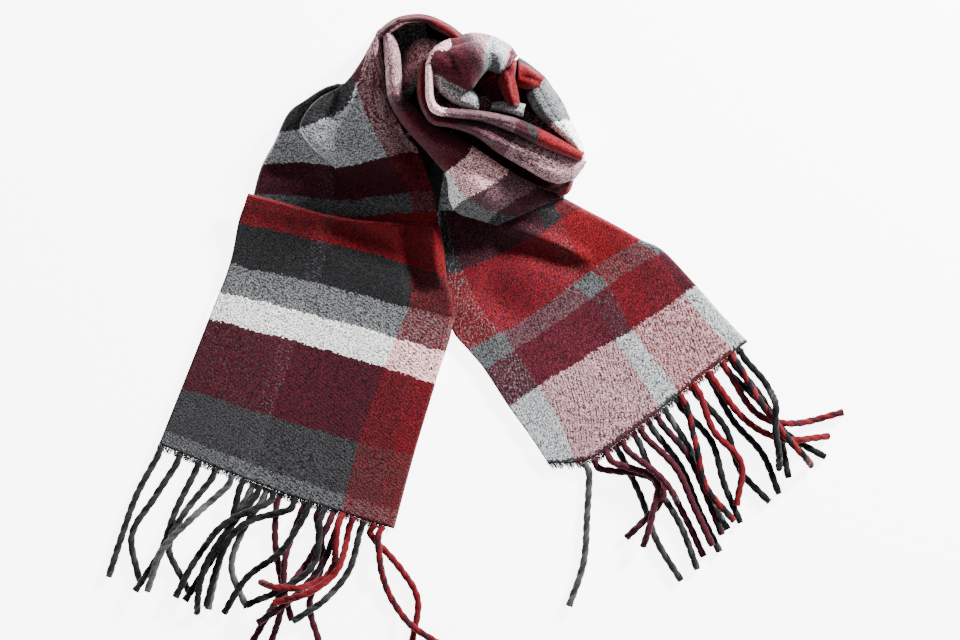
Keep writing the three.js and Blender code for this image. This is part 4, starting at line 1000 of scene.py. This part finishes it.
def strand_way(row, hem, out):
    """A strand's places in plan, from its root over the table to its tip."""
    root = np.append(along(hem[:, :2], np.array([row["at"]]))[0] + out * STRIP_OUT, 0)
    tip = np.append(standing(np.array([row["x"], row["y"], TIP_HEIGHT]))[:2], 0)
    lead = root + np.append(out * LEAD, 0)
    way = tip - lead
    left = np.array([-way[1], way[0], 0]) / np.linalg.norm(way)
    bends = [lead + way / 3 + left * row["first"], lead + way * 2 / 3 + left * row["second"]]
    places = [root, lead, *bends, tip]
    shares = np.linspace(0, 1, FINE)
    dense = along(places, shares)
    gone = np.append(0, np.cumsum(np.linalg.norm(np.diff(dense, axis=0), axis=1)))
    return root, along(places, np.interp(np.linspace(LEAD, gone[-1], STATIONS), gone, shares))


def laid(ways, floor):
    """Sets the strands' heights: each lies over those laid before it where they cross."""
    placed = np.zeros((0, 3))
    for way in ways:
        way[:, 2] = floor
        tracks = []
        for k in range(len(way) - 1):
            count = math.ceil(np.linalg.norm(way[k + 1, :2] - way[k, :2]) / CROSS_STEP)
            tracks.append(way[k, :2] + (way[k + 1, :2] - way[k, :2]) * np.linspace(0, 1, count + 1)[:, None])
        for k, track in enumerate(tracks):
            if not len(placed):
                continue
            apart = np.linalg.norm(placed[None, :, :2] - track[:, None, :], axis=2).min(axis=0)
            near = placed[apart < CLEARANCE, 2]
            if len(near):
                way[k:k + 2, 2] = np.maximum(way[k:k + 2, 2], near.max() + CLEARANCE)
        for k, track in enumerate(tracks):
            heights = np.linspace(way[k, 2], way[k + 1, 2], len(track))[:, None]
            placed = np.concatenate([placed, np.concatenate([track, heights], axis=1)])


ROOTS = {"front": FRONT_TOP - 0.8, "back": 1.4}  # how high the strands of each layer leave the hem
OFF_TABLE = 0.4  # between a strand and the table
PER_STATION = 8  # points of a strand's line for each of its stations


def fringe(side, sheet, front, context):
    """The twisted strands of one hem, and the loose ends along it."""
    sizes, colours = context.scene.scarf_sizes, context.scene.scarf_colours
    rows = FRINGES[side]
    hem, inside = standing(sheet[:2])[:, :front]
    out = hem[2, :2] - inside[2, :2]
    out /= np.linalg.norm(out)
    starts, ways = zip(*(strand_way(row, hem, out) for row in rows))
    laid(ways, sizes.strand / MM + OFF_TABLE)
    lines = []
    for row, root, way in zip(rows, starts, ways):
        root[2] = ROOTS[row["layer"]]
        points = np.concatenate([[root], way])
        lines.append(along(points, np.linspace(0, 1, PER_STATION * len(points))))
    shades = lambda ply: [np.tile([*getattr(colours, row[ply]), 1], (len(lines[0]), 1)) for row in rows]
    attributes = {"yarn": ("FLOAT_COLOR", shades("yarn")), "ply_yarn": ("FLOAT_COLOR", shades("ply"))}
    values = {"Radius": sizes.strand, "Pitch": sizes.pitch, "Step": sizes.strand_step}
    piece = grown(side + "_fringe_strands", lines, attributes, yarn_tree, values)
    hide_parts(side + "_fringe")
    fray(side + "_fringe_strands_fray", hem, out, sizes, colours)


FRAY_PER_MM = 9


FRAY_SINK = 0.9  # from the face of the hem down to the line of its loose ends
FRAY_SEED = 7


def fray(name, hem, out, sizes, colours):
    """Loose yarn ends along one hem, in the colours of the warp there."""
    borders = np.cumsum([stripe[1] for stripe in WARP])
    stripes_there = np.minimum(np.searchsorted(borders, hem[:, 3]), len(WARP) - 1)
    shades = np.array([[*getattr(colours, WARP[k][0]), 1] for k in stripes_there])
    line = hem[:, :3] - [0, 0, FRAY_SINK]
    attributes = {"out": ("FLOAT_VECTOR", [np.tile([*out, 0], (len(line), 1))]),
                  "yarn": ("FLOAT_COLOR", [shades]), "ply_yarn": ("FLOAT_COLOR", [shades])}
    length = np.linalg.norm(np.diff(line, axis=0), axis=1).sum()
    values = {"Count": int(FRAY_PER_MM * length), "Length": sizes.fray, "Seed": FRAY_SEED}
    grown(name, [line], attributes, fray_tree, values)


# The sheets of the scarf

def laid_sheet(name, step, strength):
    """A stretch of the scarf with its creases, from its table of places."""
    flat = net_grid(NETS[name], step) if name in NETS else band_grid(BANDS[name], step)
    return creased(name, flat, strength)


def folded_tail(side, sizes):
    """Lays a tail. Returns its sheet, and how many of its points across are in the front layer."""
    step = sizes.mesh_step / MM
    flat = laid_sheet(side + "_tail", step, sizes.crease)
    sheet = folded_right(flat, step)
    cloth_piece(side + "_tail", sheet, sizes)
    return sheet, flat.shape[1] - math.ceil(FOLD_REACH / step) - 1


def wound_piece(name, sizes, fineness=1):
    """Lays a roll or fold of the wound part."""
    grid = laid_sheet(name, fineness * sizes.mesh_step / MM, sizes.crease)
    cloth_piece(name, grid, sizes)


FULL_CREST = 10  # how high over the front layer the crest turns down all the way


def crest_grid(grid, front):
    """The crest of the tuck, where the left tail turns down and back under itself."""
    crest = grid[-1, :front]
    on = level_ways(crest, grid[-3, :front])
    rows = []
    for back, down in CREST_TURN:
        row = crest.copy()
        row[:, :3] -= on * back
        row[:, 2] -= down * np.minimum(1, (crest[:, 2] - FRONT_TOP) / FULL_CREST)
        row[:, 4] += down + 1
        rows.append(row)
    return np.stack([grid[-2, :front], crest, *rows])


class ScarfPiece:
    """What the operators of the scarf's pieces share"""
    bl_options = {"REGISTER", "UNDO"}


class SCARF_OT_left_tail(ScarfPiece, bpy.types.Operator):
    """Lays the folded left tail, with the tuck at its upper end"""
    bl_idname = "scarf.left_tail"
    bl_label = "Left tail"

    def execute(self, context):
        sizes = context.scene.scarf_sizes
        sheet, front = folded_tail("left", sizes)
        mesh = sheet_mesh("left_tail_tuck", crest_grid(sheet, front), sizes.cloth / MM)
        tuck = link("left_tail_tuck", mesh, material_named("brushed_check"))
        fringe("left", sheet, front, context)
        return {"FINISHED"}


class SCARF_OT_right_tail(ScarfPiece, bpy.types.Operator):
    """Lays the folded right tail"""
    bl_idname = "scarf.right_tail"
    bl_label = "Right tail"

    def execute(self, context):
        fringe("right", *folded_tail("right", context.scene.scarf_sizes), context)
        return {"FINISHED"}


class SCARF_OT_left_stretch(ScarfPiece, bpy.types.Operator):
    """Lays the stretch above the tuck and the outer layer at its left"""
    bl_idname = "scarf.left_stretch"
    bl_label = "Left stretch"

    def execute(self, context):
        sizes = context.scene.scarf_sizes
        for name, feet in LEFT_FEET.items():
            grid = turned_left(laid_sheet(name, sizes.mesh_step / MM, sizes.crease), feet)
            cloth_piece(name, grid, sizes)
        return {"FINISHED"}


class SCARF_OT_neck(ScarfPiece, bpy.types.Operator):
    """Lays the neck, the rim at the top and the lining of the hollow between them"""
    bl_idname = "scarf.neck"
    bl_label = "Neck and rim"

    def execute(self, context):
        for name in ("neck", "top_rim", "hollow_lining"):
            wound_piece(name, context.scene.scarf_sizes)
        return {"FINISHED"}


KNOT_FINENESS = 0.8  # the step of the knot's meshes, as a share of the others'


class SCARF_OT_knot(ScarfPiece, bpy.types.Operator):
    """Winds the rolls and folds of the knot"""
    bl_idname = "scarf.knot"
    bl_label = "Knot"

    def execute(self, context):
        for name in BANDS:
            if name.startswith("knot_"):
                wound_piece(name, context.scene.scarf_sizes, KNOT_FINENESS)
        return {"FINISHED"}


def round_outline(places, count):
    """A smooth closed line through an outline's places."""
    places = np.array(places, float)
    padded = np.concatenate([places[-2:], places, places[:3]])
    first = 2 / (len(padded) - 1)
    last = (2 + len(places)) / (len(padded) - 1)
    return along(padded, np.linspace(first, last, count + 1))[:-1]


CORE_WARP, CORE_WEFT = 150, 120  # the threads of the cut cloth that the hidden layers begin with
BASE = 0.3  # the height of their underside
THINNEST = 0.8
AROUND = 160  # points round a block
NOTCH = 1.4  # how deep the side is drawn in between two layers
COVER_STEP = 2.5


def layers_under(grid):
    """The body of layers under a sheet, down to the table: its places, their threads and its faces."""
    outer = standing(grid)
    top = outer[..., :3] - normals(outer) * FILL_GAP
    top[..., 2] = np.maximum(top[..., 2], THINNEST)
    bottom = top.copy()
    bottom[..., 2] = BASE
    places = np.concatenate([top.reshape(-1, 3), bottom.reshape(-1, 3)])
    threads = np.stack([CORE_WARP + places[:, 2], CORE_WEFT + places[:, 1]], axis=1)
    return places, threads, skin_faces(*grid.shape[:2]).tolist()


def core_block(top, outline):
    """A stack of folded layers: its places, their threads and its faces. Rings of places run from the middle
    of the base, up the side, which draws in between the layers, to the middle of the top."""
    line = round_outline(outline, AROUND)
    middle = line.mean(axis=0)
    ahead = np.roll(line, -1, axis=0) - np.roll(line, 1, axis=0)
    inward = np.stack([-ahead[:, 1], ahead[:, 0]], axis=1)
    inward /= np.linalg.norm(inward, axis=1, keepdims=True)
    if ((middle - line) * inward).sum() < 0:
        inward = -inward
    run = np.append(0, np.cumsum(np.linalg.norm(np.diff(line, axis=0), axis=1)))
    rings = [(BASE, share, 0) for share in (0.02, 0.5, 1)]
    heights = np.linspace(BASE, top - 0.8, max(6, round(top)))
    rings += [(z, 1, NOTCH * (1 - abs(math.sin(math.pi * z / LAYER)))) for z in heights]
    rings += [(top - 0.2, 1, 2.6), (top, 0.9, 4), (top, 0.5, 4), (top, 0.02, 4)]
    places, threads = [], []
    for z, share, inset in rings:
        ring = middle + (line - middle) * share + inward * inset * share
        height = np.maximum(z + 0.5 * np.sin(run / 13 + z), 0.2) if z > 1 else np.full(AROUND, z)
        places.append(np.column_stack([ring, height]))
        threads.append(np.column_stack([np.full(AROUND, CORE_WARP + z + inset), CORE_WEFT + run]))
    number = np.arange(len(rings) * AROUND).reshape(-1, AROUND)
    after = np.roll(number, -1, axis=1)
    sides = np.stack([number[:-1], after[:-1], after[1:], number[1:]], axis=2).reshape(-1, 4)
    faces = [*sides.tolist(), number[0, ::-1].tolist(), number[-1].tolist()]
    return standing(np.concatenate(places)), np.concatenate(threads), faces


class SCARF_OT_hidden_layers(ScarfPiece, bpy.types.Operator):
    """Stacks the folded layers inside the wound part"""
    bl_idname = "scarf.hidden_layers"
    bl_label = "Hidden layers"

    def execute(self, context):
        upper, wing, neck = (laid_sheet(name, COVER_STEP, 1) for name in ("left_upper", "left_wing", "neck"))
        edge = neck.shape[1] // 6
        covers = (upper[1:-4, 1:], wing[1:-2, 1:], neck[2:-1, edge:-edge])
        places, threads, faces = np.zeros((0, 3)), np.zeros((0, 2)), []
        bodies = [core_block(*block) for block in CORE_BLOCKS] + [layers_under(cover) for cover in covers]
        for body in bodies:
            faces += [[corner + len(places) for corner in face] for face in body[2]]
            places = np.concatenate([places, body[0]])
            threads = np.concatenate([threads, body[1]])
        mesh = bpy.data.meshes.new("hidden_layers")
        mesh.from_pydata((places * MM).tolist(), [], faces)
        corners = np.zeros(len(mesh.loops), int)
        mesh.loops.foreach_get("vertex_index", corners)
        add_map(mesh, "threads", threads[corners])
        mesh.shade_smooth()
        piece = link("hidden_layers", mesh, material_named("brushed_check"))
        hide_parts("wound_core")
        return {"FINISHED"}


def lamp(name, place, aim, width, power, shade):
    """A soft square lamp that points at a place."""
    light = bpy.data.lights.new(name, "AREA")
    light.size = width
    light.energy = power
    light.color = shade
    made = bpy.data.objects.new(name, light)
    bpy.context.scene.collection.objects.link(made)
    made.location = place
    x, y, z = np.array(aim, float) - np.array(place, float)
    made.rotation_euler = (math.atan2(math.hypot(x, y), -z), 0, math.atan2(y, x) - math.pi / 2)


TABLE_HALF, TABLE_TOP = 3, -0.0004  # half the table's width and the height of its top, in metres


class SCARF_OT_stage(bpy.types.Operator):
    """Sets the table, the lamps and the camera straight above"""
    bl_idname = "scarf.stage"
    bl_label = "Stage"

    def execute(self, context):
        mesh = bpy.data.meshes.new("table")
        signs = ((-1, -1), (1, -1), (1, 1), (-1, 1))
        corners = [(x * TABLE_HALF, y * TABLE_HALF, TABLE_TOP) for x, y in signs]
        mesh.from_pydata(corners, [], [(0, 1, 2, 3)])
        floor = bpy.data.objects.new("table", mesh)
        context.scene.collection.objects.link(floor)
        mesh.materials.append(material_named("pale_floor"))
        world = bpy.data.worlds.new("studio")
        world.use_nodes = True
        background = world.node_tree.nodes["Background"]
        background.inputs["Color"].default_value = (1, 1, 1, 1)
        background.inputs["Strength"].default_value = 0.34
        context.scene.world = world
        lamp("key", place=(0.85, 0.85, 0.62), aim=(0, 0.05, 0), width=0.25, power=88, shade=(1, 0.99, 0.98))
        lamp("fill", place=(-0.9, -0.6, 1.3), aim=(0, 0, 0), width=0.8, power=3, shade=(0.97, 0.98, 1))
        camera = bpy.data.objects.new("camera", bpy.data.cameras.new("camera"))
        context.scene.collection.objects.link(camera)
        camera.location = (AXIS[0] * MM, AXIS[1] * MM, EYE * MM)
        camera.data.lens = 90
        camera.data.sensor_width = 36
        context.scene.camera = camera
        return {"FINISHED"}


OPERATORS = [SCARF_OT_stage, SCARF_OT_hidden_layers, SCARF_OT_right_tail, SCARF_OT_left_tail,
             SCARF_OT_left_stretch, SCARF_OT_neck, SCARF_OT_knot]


class SCARF_PT_panel(bpy.types.Panel):
    """Lists the scarf's pieces, sizes and colours"""
    bl_idname = "SCARF_PT_panel"
    bl_label = "Scarf"
    bl_space_type = "VIEW_3D"
    bl_region_type = "UI"
    bl_category = "Scarf"

    def draw(self, context):
        for group in (context.scene.scarf_sizes, context.scene.scarf_colours):
            for name in group.__annotations__:
                self.layout.prop(group, name)
        for operator in OPERATORS:
            self.layout.operator(operator.bl_idname)


def register():
    for part in (ScarfSizes, ScarfColours, *OPERATORS, SCARF_PT_panel):
        bpy.utils.register_class(part)
    bpy.types.Scene.scarf_sizes = bpy.props.PointerProperty(type=ScarfSizes)
    bpy.types.Scene.scarf_colours = bpy.props.PointerProperty(type=ScarfColours)


def unregister():
    del bpy.types.Scene.scarf_sizes
    del bpy.types.Scene.scarf_colours
    for part in (SCARF_PT_panel, *reversed(OPERATORS), ScarfColours, ScarfSizes):
        bpy.utils.unregister_class(part)


def main():
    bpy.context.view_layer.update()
    register()
    for operator in OPERATORS:
        group, name = operator.bl_idname.split(".")
        getattr(getattr(bpy.ops, group), name)()


if __name__ == "__main__":
    main()
